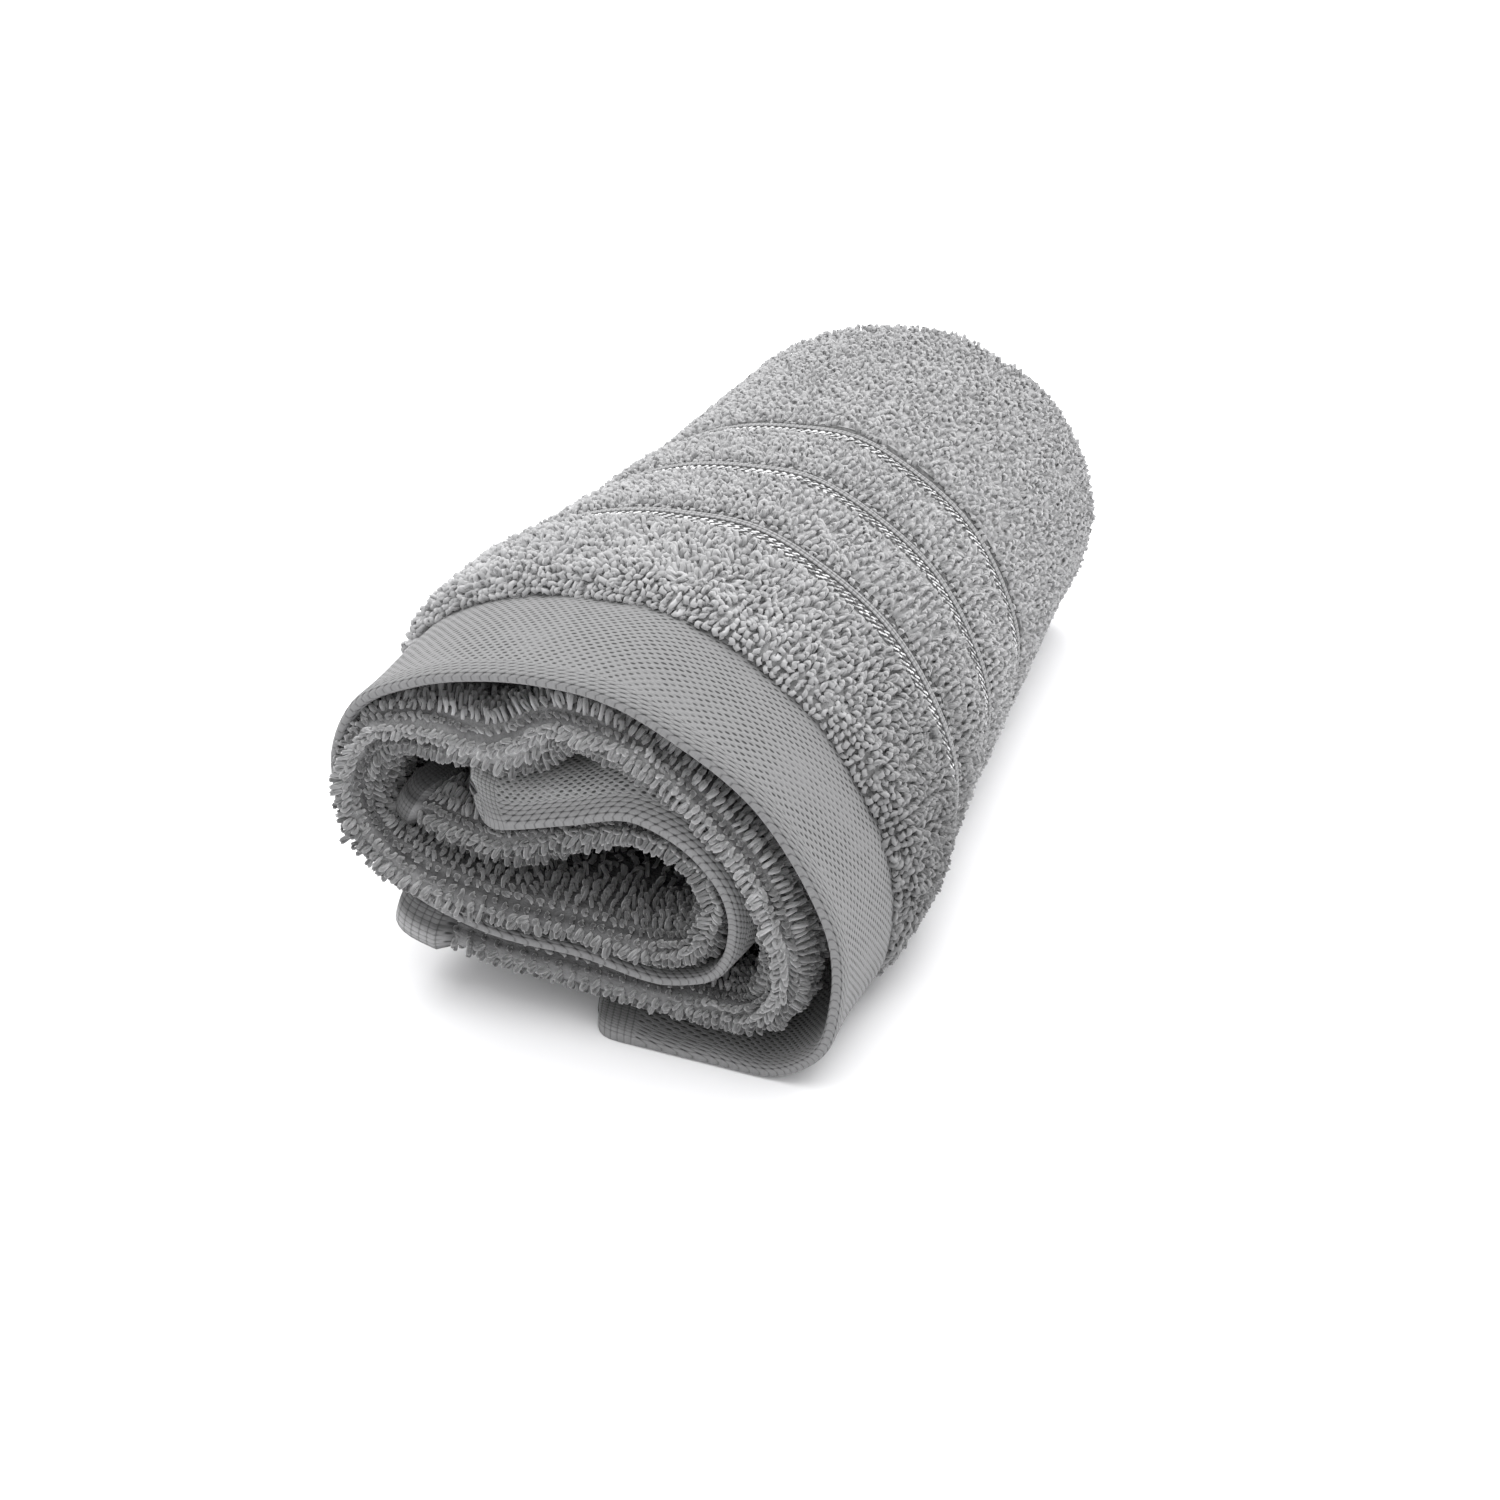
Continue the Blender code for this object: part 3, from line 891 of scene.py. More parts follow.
@dataclass
class TowelCloth:
    """The towel's one sheet of cloth, folded in thirds and wound up.

    Its show face is the outer layer's outer side. It runs on round the fold at the back, up between
    the folded pair, and so to the other hem inside. The two numbers of a fall, a rise or a reach say
    where a change starts and where it is complete.
    """

    form: RollForm
    stations: int = 141
    near_ends: tuple[float, ...] = (0.0, 0.35, 0.9, 1.7, 2.8, 4.2, 5.8, 7.6, 9.6, 11.8)
    width: float = 406.0
    thickness: float = 1.3
    # How long the loops are on the outer layer, in the pair and on its ridge, how much of their length
    # lies under the solid's face, how far the layer has to swell for their full length, and how short
    # they have to be to be left out.
    pile: float = 1.8
    pair_pile: float = 2.5
    ridge_pile: float = 3.0
    shallow: float = 0.4
    full_swell: float = 2.0
    least_pile: float = 0.5
    # The selvedges are bare, blunt and a little swollen, and the hem's corners are round.
    cover_rise: tuple[float, float] = (6.0, 8.0)
    bare_lap: float = 0.5
    edge_round: float = 1.25
    edge_thin: float = 0.2
    edge_start: float = 0.35
    edge_swell: float = 0.5
    swell_fall: tuple[float, float] = (3.0, 10.0)
    corner_round: float = 4.0
    inner_round: float = 5.0
    corner_fall: tuple[float, float] = (0.0, 9.0)
    # The hem is painted lighter where it is wound inside: painted light.
    inner_painted_light: float = 1.5
    painted_light_reach: tuple[float, float] = (0.76, 0.84)
    painted_light_rise: tuple[float, float] = (0.5, 7.0)
    # The outer layer's rows past its hem, where a woven stripe lies about its middle, and how the loops
    # lie beside it and lean over the hem.
    hem_lap: float = 0.8
    row_pitch: float = 3.2
    stripe_rows: int = 8
    stripe_inset: float = 0.05
    stripe_span: tuple[float, float] = (-3.6, 3.1)
    before: StripeSide = StripeSide(
        lean=-0.6, lean_fade=2.0, kept=0.42, kept_reach=5.5, painted_parting_shade=0.4, painted_parting_shade_fade=1.0
    )
    past: StripeSide = StripeSide(
        lean=1.0, lean_fade=4.0, kept=0.7, kept_reach=4.5, painted_parting_shade=0.4, painted_parting_shade_fade=2.5
    )
    hem_lean: float = -1.7
    hem_lean_fade: float = 3.5
    # Where the painted shade on the right side of the pile fades along the roll.
    painted_shade_fall: tuple[float, float] = (60.0, 120.0)
    # How much painted shade the far pile gets, and where it takes hold.
    far_painted_shade: float = 0.06
    far_reach: tuple[float, float] = (100.0, 190.0)
    # The fold at the back, whose loops stop above the surface that the towel lies on, and how high the
    # cloth's two faces stay above it.
    fold_steps: int = 9
    floor_rise: tuple[float, float] = (1.0, 4.5)
    show_floor: float = 0.02
    back_floor: float = 0.3
    # The folded pair: where its puff and its wavy tip fade, and its hem inside.
    puff_fall: tuple[float, float] = (10.0, 48.0)
    bare_puff: float = 0.5
    tip_fall: tuple[float, float] = (4.0, 33.0)
    outer_lean: float = 0.4
    inner_lean: float = -0.15
    # Painted shade on the loops and the cloth in the hollow.
    hollow_painted_shade: float = 0.6
    inner_hem: float = 211.0
    inner_gap: float = 0.3
    # The ridge: its depth, how its furrows wander, and how its loops lean and tuck under the hem.
    ridge_steps: int = 13
    ridge_depth: float = 4.0
    wander: float = 12.0
    wander_rates: tuple[float, float] = (41.0, 97.0)
    leaning_turn: float = -40.0
    ridge_leans: tuple[float, float] = (0.5, -0.1)
    tuck_rise: tuple[float, float] = (-1.0, 2.0)
    rows: list[ClothRow] = field(default_factory=list)
    marks: dict[str, tuple[int, int]] = field(default_factory=dict)

    def __post_init__(self) -> None:
        """Lay out the stations, which of them have pile, and the round selvedges and corners."""
        ends = np.array(self.near_ends)
        middle = np.linspace(ends[-1], self.width - ends[-1], self.stations)[1:-1]
        self.share = np.concatenate([ends, middle, self.width - ends[::-1]]) / self.width
        from_edge = np.minimum(self.share, 1 - self.share) * self.width
        self.cover = smooth(*self.cover_rise, from_edge)
        self.bare = from_edge < self.cover_rise[1] - self.bare_lap
        self.blunt = self.edge_thin + (1 - self.edge_thin) * quarter(from_edge, self.edge_round)
        self.blunt *= 1 + self.edge_swell * (1 - smooth(*self.swell_fall, from_edge))
        reach = np.where(self.share < 0.5, self.corner_round, self.inner_round)
        self.corner = reach * (1 - quarter(from_edge, reach))

    def at(self, layer: Layer, y: float, out: Numbers) -> np.ndarray:
        """The stations' points on a layer, `out` outside its middle line."""
        return self.form.at(layer, self.share, y, out)

    def read(self, name: str, layer: Layer, y: float) -> np.ndarray:
        """A column of the tables of bends, read at the stations."""
        return self.form.read(name, layer, self.share, y)

    def add(
        self,
        show: np.ndarray,
        back: np.ndarray,
        zone: Zone,
        pile: Numbers = 0.0,
        lean: Numbers = 0.0,
        shade: Numbers = 1.0,
    ) -> None:
        """Add a row of the cloth, kept above the surface that the towel rests on.

        Args:
            show: The row's points on the show face.
            back: Its points on the back face.
            zone: What the cloth is from here to the next row.
            pile: How long the loops are.
            lean: How far they lean along the roll.
            shade: How light they are, with painted shade and painted light.
        """
        show[:, 2] = np.maximum(show[:, 2], self.show_floor)
        back[:, 2] = np.maximum(back[:, 2], self.back_floor)
        spread = [np.broadcast_to(value, self.share.shape) for value in (pile, lean, shade)]
        self.rows.append(ClothRow(show, back, zone, *spread))

    def mark(self, name: str, start: int) -> int:
        """Mark the rows from `start` to the last one for loops, and give the last one's number."""
        self.marks[name] = (start, len(self.rows) - 1)
        return len(self.rows) - 1

    def add_hem(self, y: float, out: Numbers, under: Numbers) -> None:
        """Add a row of the outer layer's hem, whose corners are round.

        Args:
            y: The place along the roll, from the hem's edge.
            out: How far the show face lies outside the layer's middle line.
            under: How far the back face lies inside it.
        """
        show = self.at(Layer.OUTER, y, out * self.blunt)
        back = self.at(Layer.OUTER, y, -under * self.blunt)
        drawn = self.corner * (1 - float(smooth(*self.corner_fall, y)))
        show[:, 1] += drawn
        back[:, 1] += drawn
        # Painted light on the hem where it is wound inside the roll.
        lift = self.inner_painted_light * smooth(*self.painted_light_reach, self.share) * smooth(*self.painted_light_rise, y)
        self.add(show, back, Zone.HEM, shade=1 + lift)

    def in_stripe(self, y: float) -> bool:
        """Whether this place along the roll is in a woven stripe."""
        low, high = self.stripe_span
        return any(low <= y - c <= high for c in self.form.stripe_centres)

    def beside(self, y: float) -> list[tuple[StripeSide, float]]:
        """The sides of the woven stripes that a place along the roll lies on.

        Args:
            y: The place along the roll, from the hem's edge.

        Returns:
            Each such side, with how far the place is from the stripe.
        """
        low, high = self.stripe_span
        sides = []
        for centre in self.form.stripe_centres:
            sides += [(self.before, centre + low - y), (self.past, y - centre - high)]
        return [(side, gap) for side, gap in sides if gap >= 0]

    def lean_at(self, y: float) -> float:
        """How far the outer layer's loops lean: over the hem, and away from each stripe.

        Args:
            y: The place along the roll, from the hem's edge.

        Returns:
            The lean, above 0 towards the back.
        """
        lean = self.hem_lean * math.exp(-(y - self.form.hem_depth) / self.hem_lean_fade)
        for side, gap in self.beside(y):
            lean += side.lean * math.exp(-gap / side.lean_fade)
        return lean

    def crushed(self, y: float) -> float:
        """How much of their length the loops keep beside a woven stripe, which presses them flat.

        Args:
            y: The place along the roll, from the hem's edge.

        Returns:
            A share, 1 where no stripe is near.
        """
        kept = 1.0
        for side, gap in self.beside(y):
            kept = min(kept, side.kept + (1 - side.kept) * float(smooth(0.0, side.kept_reach, gap)))
        return kept

    def shade_at(self, y: float) -> float:
        """How light the outer layer's loops are: painted shade in the partings by each stripe and towards
        the back.

        Args:
            y: The place along the roll, from the hem's edge.

        Returns:
            A factor on the loops' own colour.
        """
        painted_parting_shade = 0.0
        for side, gap in self.beside(y):
            painted_parting_shade += side.painted_parting_shade * math.exp(-gap / side.painted_parting_shade_fade)
        return (1 - painted_parting_shade) * (1 - self.far_painted_shade * float(smooth(*self.far_reach, y)))

    def pile_length(self, y: float) -> np.ndarray:
        """How long the outer layer's loops are where nothing presses them."""
        swell = self.read("swell", Layer.OUTER, y)
        return self.pile * np.clip(swell / self.full_swell, 0, 1) * self.cover

    def outer_rows(self) -> list[float]:
        """Place the outer layer's rows past its hem, and mark its bands and stripes.

        Returns:
            The rows' places along the roll.
        """
        first, places = len(self.rows), []
        edges = [self.form.hem_depth - self.hem_lap]
        for centre in self.form.stripe_centres:
            edges += [centre + reach for reach in self.stripe_span]
        edges.append(self.form.length - self.form.back_round)
        for k, (low, high) in enumerate(zip(edges, edges[1:])):
            striped = k % 2 == 1
            count = self.stripe_rows if striped else max(2, round((high - low) / self.row_pitch))
            inset = self.stripe_inset if striped else 0.0
            start = first + len(places)
            places += np.linspace(low + inset, high - inset, count).tolist()
            kind = "stripe" if striped else "band"
            self.marks[f"{kind}_{k // 2 + 1}"] = (start, first + len(places) - 1)
        return places

    def build_outer(self) -> None:
        """Lay the outer layer, from its hem's edge to the fold at the back."""
        form, half = self.form, self.form.hem_half
        for y, part in EDGE_ROWS["hem"]:
            self.add_hem(y, half * part, half * part)
        for y in ROWS["hem"]:
            self.add_hem(y, np.minimum(form.face(self.share, y), half), half)
        for y in self.outer_rows():
            back = self.at(Layer.OUTER, y, -half)
            lean, shade = self.lean_at(y), self.shade_at(y)
            if self.in_stripe(y):
                show = self.at(Layer.OUTER, y, form.stripe_face(self.share, y))
                self.add(show, back, Zone.STRIPE, 0.0, lean, shade)
                continue
            pile = self.pile_length(y) * self.crushed(y)
            show = self.at(Layer.OUTER, y, form.face(self.share, y) - pile * self.shallow)
            # Painted shade on the right side of the pile, which fades towards the back.
            painted_shade = (1 - float(smooth(*self.painted_shade_fall, y))) * self.read("painted_shade", Layer.OUTER, y)
            self.add(show, back, Zone.TERRY, pile, lean, shade * (1 - painted_shade))

    def build_back_fold(self) -> None:
        """Turn the cloth round at the back, from the outer layer to the pair's outer leaf."""
        form = self.form
        y = form.length - form.back_round
        face = form.face(self.share, y) - self.pile_length(y) * self.shallow
        leaf = form.pair_half - self.pair_pile * self.cover
        outside, inside = (self.at(Layer.OUTER, y, out) for out in (face, -form.hem_half))
        leaf_show, leaf_back = (self.at(Layer.PAIR, y, out) for out in (leaf - self.thickness, leaf))
        reach = form.back_round - self.pair_pile
        start = len(self.rows) - 1
        for turn in np.linspace(0, math.pi, self.fold_steps)[1:-1]:
            show = self.arc(outside, leaf_show, turn, reach)
            back = self.arc(inside, leaf_back, turn, reach - self.thickness)
            pile = self.pair_pile * self.cover * smooth(*self.floor_rise, show[:, 2])
            self.add(show, back, Zone.TERRY, pile, shade=self.shade_at(y))
        self.mark("back_fold", start)

    def arc(self, a: np.ndarray, b: np.ndarray, turn: float, reach: float) -> np.ndarray:
        """Points part of the way round an arc from a to b that bulges along the roll.

        Args:
            a: Where the arc starts.
            b: Where it ends.
            turn: How far round, from 0 to pi.
            reach: How far the arc bulges, towards the back where it is above 0.

        Returns:
            The points at that turn.
        """
        points = (a + b) / 2 + (a - b) / 2 * math.cos(turn)
        points[:, 1] += reach * math.sin(turn)
        return points

    def leaf_offsets(self, y: float, side: int) -> tuple[np.ndarray, np.ndarray]:
        """Where a leaf of the folded pair lies. Near the front the pair is puffed up.

        Args:
            y: The place along the roll.
            side: 1 for the outer leaf and -1 for the inner one.

        Returns:
            The leaf's show and back offsets from the pair's middle line.
        """
        hem = side < 0 and y >= self.inner_hem
        outside = self.form.pair_half - (self.inner_gap if hem else self.pair_pile) * self.cover
        puffed = self.read("outward" if side > 0 else "inward", Layer.PAIR, y)
        puffed = puffed + self.bare_puff * self.ridge_pile * (1 - self.cover)
        near = 1 - float(smooth(*self.puff_fall, y))
        outside = outside + near * (puffed - outside)
        thick = 2 * self.form.hem_half if hem else self.thickness
        return side * (outside - thick), side * outside

    def leaf_points(self, y: float, side: int) -> tuple[np.ndarray, np.ndarray]:
        """The show and back points of a leaf of the pair: 1 is the outer leaf, and -1 the inner one."""
        show, back = self.leaf_offsets(y, side)
        return self.at(Layer.PAIR, y, show), self.at(Layer.PAIR, y, back)

    def add_leaf(self, y: float, side: int, pile: np.ndarray, painted_shade: float = 1.0) -> None:
        """Add a row of one leaf of the pair, which near the front follows its fold's wavy tip.

        Args:
            y: The place along the roll.
            side: 1 for the outer leaf and -1 for the inner one.
            pile: How long the loops are.
            painted_shade: The painted shade on them, a factor beside the ridge's own painted shade.
        """
        show, back = self.leaf_points(y, side)
        near = 1 - float(smooth(*self.tip_fall, y))
        for points in (show, back):
            points[:, 1] += self.read("tip", Layer.PAIR, 0.0) * near
        lean = self.outer_lean if side > 0 else self.inner_lean
        self.add(show, back, Zone.TERRY, pile, lean, self.read("shade", Layer.PAIR, 0.0) * painted_shade)

    def build_pair(self) -> None:
        """Lay the folded pair: its outer leaf to the front, round its fold, and back to its hem."""
        for y in ROWS["outer leaf"]:
            self.add(*self.leaf_points(y, 1), Zone.TERRY)
        pile = self.ridge_pile * self.cover
        close = np.minimum(pile, self.read("room", Layer.PAIR, 0.0))
        for y in ROWS["behind the ridge"]:
            self.add_leaf(y, 1, close)
        start = len(self.rows)
        for y in ROWS["ridge's outer side"]:
            self.add_leaf(y, 1, close)
        start = self.build_ridge(start, pile, close)
        for y in ROWS["ridge's inner side"]:
            self.add_leaf(y, -1, pile)
        start = self.mark("ridge_inner", start)
        pile = self.pair_pile * self.cover
        for y in ROWS["hollow"]:
            self.add_leaf(y, -1, pile, self.hollow_painted_shade)
        self.mark("hollow", start)
        for y in ROWS["inner leaf"]:
            self.add_leaf(y, -1, pile)
        self.build_inner_hem()

    def build_ridge(self, start: int, pile: np.ndarray, close: np.ndarray) -> int:
        """Turn the cloth round at the front, from the pair's outer leaf to its inner one.

        Args:
            start: The first row of the ridge's outer side.
            pile: How long the loops are.
            close: How long they are where the outer layer lies over them.

        Returns:
            The row at the ridge's tip, where its inner side starts.
        """
        inward, outward = (self.leaf_offsets(0.0, side)[1] for side in (-1, 1))
        middle, radius = (outward + inward) / 2, (outward - inward) / 2
        # The ridge's painted shade, taken back to the cloth's own colour where its selvedge is bare.
        light = self.read("shade", Layer.PAIR, 0.0)
        light = np.where(self.share < 0.5, self.cover * light + 1.0 - self.cover, light)
        slow, quick = (np.sin(self.share * rate) for rate in self.wander_rates)
        sway = self.wander * slow + 0.5 * self.wander * quick
        foremost = self.read("tip", Layer.PAIR, 0.0) + pile + np.minimum(self.corner, self.corner_round)
        low, high = self.tuck_rise
        for turn in np.linspace(-90, 90, self.ridge_steps):
            across, along = -math.sin(math.radians(turn)), math.cos(math.radians(turn))
            back = self.at(Layer.PAIR, 0.0, middle + radius * across)
            show = self.at(Layer.PAIR, 0.0, middle + (radius - self.thickness) * across)
            back[:, 1] += foremost + self.ridge_depth * (1 - along)
            show[:, 1] += foremost + self.ridge_depth - (self.ridge_depth - self.thickness) * along
            hidden = np.clip((back[:, 1] - self.form.centring[1] - low) / (high - low), 0, 1)
            length = pile + (close - pile) * hidden if turn < 0 else pile
            # The furrows' painted shade and the crests' painted light, on top of the ridge's painted shade.
            tall, shade = (
                np.interp(turn + sway, FURROWS["turn"], FURROWS[key]) for key in ("height", "shade")
            )
            lean = self.ridge_leans[0] if turn < self.leaning_turn else self.ridge_leans[1]
            self.add(show, back, Zone.TERRY, length * tall, lean, shade * light)
            if turn == 0:
                start = self.mark("ridge_outer", start)
        return start

    def build_inner_hem(self) -> None:
        """Lay the towel's other hem, which ends inside the roll."""
        for y in ROWS["inner hem"]:
            self.add(*self.leaf_points(y, -1), Zone.HEM)
        half = self.form.hem_half
        middle = -(self.form.pair_half - self.inner_gap - half)
        for y, part in EDGE_ROWS["inner hem"]:
            show, back = (self.at(Layer.PAIR, y, middle + out) for out in (half * part, -half * part))
            self.add(show, back, Zone.HEM)

    def build(self, materials: list[bpy.types.Material]) -> bpy.types.Object:
        """Build the sheet as one closed mesh.

        Args:
            materials: The sheet's materials, in the order of the zones.

        Returns:
            The sheet's object.
        """
        self.build_outer()
        self.build_back_fold()
        self.build_pair()
        show = np.stack([row.show for row in self.rows])
        back = np.stack([row.back for row in self.rows])
        count, across = show.shape[:2]
        top = np.arange(count * across).reshape(count, across)
        under = top + count * across
        faces = [face[::-1] for face in grid_faces(top)] + grid_faces(under)
        bare = self.bare[:-1]
        zones = [np.where(bare, Zone.HEM.value, row.zone.value) for row in self.rows[:-1]]
        zones = np.concatenate(zones * 2).tolist()
        for edge, turned in ((0, False), (-1, True)):
            strip = grid_faces(np.stack([top[edge], under[edge]]))
            faces += [face[::-1] if turned else face for face in strip]
            side = grid_faces(np.stack([top[:, edge], under[:, edge]], axis=1))
            faces += [face if turned else face[::-1] for face in side]
            zones += [Zone.HEM.value] * (len(strip) + len(side))
        cloth = mesh_object("cloth", np.concatenate([show, back]).reshape(-1, 3), faces)
        for material in materials:
            cloth.data.materials.append(material)
        cloth.data.polygons.foreach_set("material_index", zones)
        self.lay_uv(cloth.data, show, back)
        # The rows' shade, with its painted shade and painted light, for the cloth's materials.
        shade = np.stack([row.shade for row in self.rows])
        set_attribute(cloth.data, "shade", np.concatenate([shade, shade]).ravel())
        return cloth

    def lay_uv(self, mesh: bpy.types.Mesh, show: np.ndarray, back: np.ndarray) -> None:
        """Lay the cloth's UV map, in metres: u across the towel's width and v along its length.

        Args:
            mesh: The cloth's mesh.
            show: The points of the show face, row by row.
            back: The points of the back face.
        """
        u = self.share * self.width * MM
        grids = []
        for side in (show, back):
            v = (run_along(side) + self.edge_start) * MM
            grids.append(np.stack(np.meshgrid(u, v), axis=2).reshape(-1, 2))
        places = np.concatenate(grids).astype(np.float32)
        corners = np.empty(len(mesh.loops), np.int32)
        mesh.loops.foreach_get("vertex_index", corners)
        layer = mesh.uv_layers.new(name="UVMap")
        layer.data.foreach_set("uv", places[corners].ravel())

    def patch(self, name: str, outer: bool, ranks: tuple[float, ...] = ()) -> bpy.types.Object:
        """Cut out a marked stretch of the cloth, for loops to stand on.

        Args:
            name: The mark's name.
            outer: Whether the loops stand on the show face.
            ranks: For loops in ranks, how far apart they stand round the roll and along the cloth.

        Returns:
            An object with the patch's pile, cover, shade, lean and grain.
        """
        first, last = self.marks[name]
        rows = self.rows[first : last + 1]
        points = np.stack([row.show if outer else row.back for row in rows])
        grids = (points, *(np.stack([getattr(row, key) for row in rows]) for key in PATCH_KEYS))
        if ranks:
            along = run_along(points)
            down = np.interp(np.arange(0.0, along[-1], ranks[1]), along, np.arange(len(along)))
            round_roll = np.arange(self.cover_rise[0], self.width - self.cover_rise[0], ranks[0])
            across = np.interp(round_roll / self.width, self.share, np.arange(len(self.share)))
            grids = (self.resample(grid, down, across) for grid in grids)
        points, pile, lean, shade = grids
        faces = grid_faces(np.arange(pile.size).reshape(pile.shape))
        if outer:
            faces = [face[::-1] for face in faces]
        thing = mesh_object(f"patch_{name}", points.reshape(-1, 3), faces)
        leans = np.zeros((pile.size, 3))
        leans[:, 1] = lean.ravel()
        set_attribute(thing.data, "pile", pile.ravel())
        set_attribute(thing.data, "cover", (pile.ravel() > self.least_pile).astype(float))
        set_attribute(thing.data, "shade", shade.ravel())
        set_attribute(thing.data, "lean", leans)
        set_attribute(thing.data, "grain", np.gradient(points, axis=0).reshape(-1, 3))
        return thing

    def resample(self, grid: np.ndarray, down: np.ndarray, across: np.ndarray) -> np.ndarray:
        """Read a grid between its rows and columns.

        Args:
            grid: The grid, with a number or a point in each place.
            down: The row numbers to read, whole or between two rows.
            across: The column numbers.

        Returns:
            The new grid.
        """
        for numbers in (down, across):
            low = np.minimum(numbers.astype(int), grid.shape[0] - 2)
            part = (numbers - low).reshape(-1, *[1] * (grid.ndim - 1))
            grid = grid[low] * (1 - part) + grid[low + 1] * part
            grid = grid.swapaxes(0, 1)
        return grid


# The shapes of a terry loop: half the width of its belly, how far its plane twists from foot to top in
# degrees, and how far its top bows to one side.
LOOP_SHAPES = {
    "upright": (0.72, 35.0, 0.10),
    "kinked": (0.60, 110.0, 0.35),
    "wide": (0.88, -60.0, -0.20),
    "rolled": (0.66, 160.0, -0.40),
}


@dataclass
class TerryLoop:
    """One loop of pile yarn, as a tube. Where it stands it is scaled to the pile there."""

    height: float = 3.0
    yarn: float = 0.42
    foot: float = 0.35
    sides: int = 3
    segments: int = 7
    slim: float = 1.0
    sunk: float = 0.3
    # How steeply the loop stands, how soon it widens, and how much of its top is as wide as its belly.
    steepness: float = 0.7
    fullness: float = 0.6
    crown: float = 0.9
    # A direction that no part of the yarn runs in, from which its section is turned.
    aside: tuple[float, float, float] = (0.3, 1.0, 0.1)

    def centreline(self, belly: float, twist: float, bow: float) -> np.ndarray:
        """The yarn's middle line, from foot to foot.

        Args:
            belly: Half the width of the loop.
            twist: How far its plane turns from foot to top, in degrees.
            bow: How far its top leans to one side.

        Returns:
            The points of the line.
        """
        belly, twist, bow = belly * self.slim, twist * self.slim, bow * self.slim
        turn = math.pi * (np.linspace(0, 1, self.segments + 1) - 0.5)
        z = self.height * np.cos(turn) ** self.steepness - self.sunk
        lift = np.clip(z / self.height, 0, 1)
        girth = self.foot + (belly - self.foot) * np.sin(math.pi * lift) ** self.fullness
        wide = np.sin(turn) * np.where(np.abs(turn) < self.crown, belly, girth)
        angle = np.radians(twist) * lift
        x, y = wide * np.cos(angle), wide * np.sin(angle) + bow * lift**2
        return np.column_stack([x, y, z])

    def build(self, name: str, belly: float, twist: float, bow: float) -> bpy.types.Object:
        """Build one loop with its rise attribute, 0 at the foot and 1 at the top.

        Args:
            name: The object's name.
            belly: Half the width of the loop.
            twist: How far its plane turns from foot to top, in degrees.
            bow: How far its top leans to one side.

        Returns:
            The loop's object.
        """
        line = self.centreline(belly, twist, bow)
        heading = np.gradient(line, axis=0)
        heading /= np.linalg.norm(heading, axis=1)[:, None]
        across = np.cross(heading, self.aside)
        across /= np.linalg.norm(across, axis=1)[:, None]
        up = np.cross(across, heading)
        angles = [2 * math.pi * k / self.sides for k in range(self.sides)]
        sides = [line + self.yarn * (math.cos(a) * across + math.sin(a) * up) for a in angles]
        points = np.stack(sides, axis=1)
        faces = [face[::-1] for face in tube_faces(points)]
        thing = mesh_object(name, points.reshape(-1, 3), faces)
        rise = np.clip(points[:, :, 2].ravel() / (self.height - self.sunk), 0, 1)
        set_attribute(thing.data, "rise", rise)
        return thing


def gather(name: str, things: list[bpy.types.Object]) -> bpy.types.Collection:
    """Put template objects in a collection of their own.

    Args:
        name: The collection's name.
        things: The objects.

    Returns:
        The collection.
    """
    group = bpy.data.collections.new(name)
    bpy.context.scene.collection.children.link(group)
    for thing in things:
        bpy.context.scene.collection.objects.unlink(thing)
        group.objects.link(thing)
    return group


def discard(group: bpy.types.Collection) -> None:
    """Remove a collection of templates and all that is in it.

    Args:
        group: The collection.
    """
    for thing in list(group.objects):
        bpy.data.objects.remove(thing)
    bpy.data.collections.remove(group)


class Socket(Enum):
    """The kinds of input that the trees here take."""

    GEOMETRY = "NodeSocketGeometry"
    NUMBER = "NodeSocketFloat"
    WHOLE = "NodeSocketInt"
    GROUP = "NodeSocketCollection"
    MATERIAL = "NodeSocketMaterial"


class Kind(Enum):
    """The kinds of value that an attribute or a random draw has."""

    NUMBER = "FLOAT"
    WHOLE = "INT"
    VECTOR = "FLOAT_VECTOR"


class Seed(Enum):
    """The fixed seeds of the random draws, one for each use."""

    PLACE = 2
    JITTER = 3
    SPIN = 4
    HEIGHT = 5
    GIRTH = 6
    SHAPE = 7
    WOBBLE = 8
    FLOAT_SIZE = 9
    TONE = 11


def new_tree(name: str, inputs: dict[str, Socket]) -> tuple[NodeSheet, bpy.types.Node, bpy.types.Node]:
    """Start a Geometry Nodes tree.

    Args:
        name: The tree's name.
        inputs: Its named inputs and their kinds, after the geometry.

    Returns:
        The sheet of its nodes, its input node and its output node.
    """
    tree = bpy.data.node_groups.new(name, "GeometryNodeTree")
    tree.interface.new_socket("Geometry", in_out="INPUT", socket_type=Socket.GEOMETRY.value)
    for label, kind in inputs.items():
        tree.interface.new_socket(label, in_out="INPUT", socket_type=kind.value)
    tree.interface.new_socket("Geometry", in_out="OUTPUT", socket_type=Socket.GEOMETRY.value)
    sheet = NodeSheet(tree)
    return sheet, sheet.add("NodeGroupInput"), sheet.add("NodeGroupOutput")


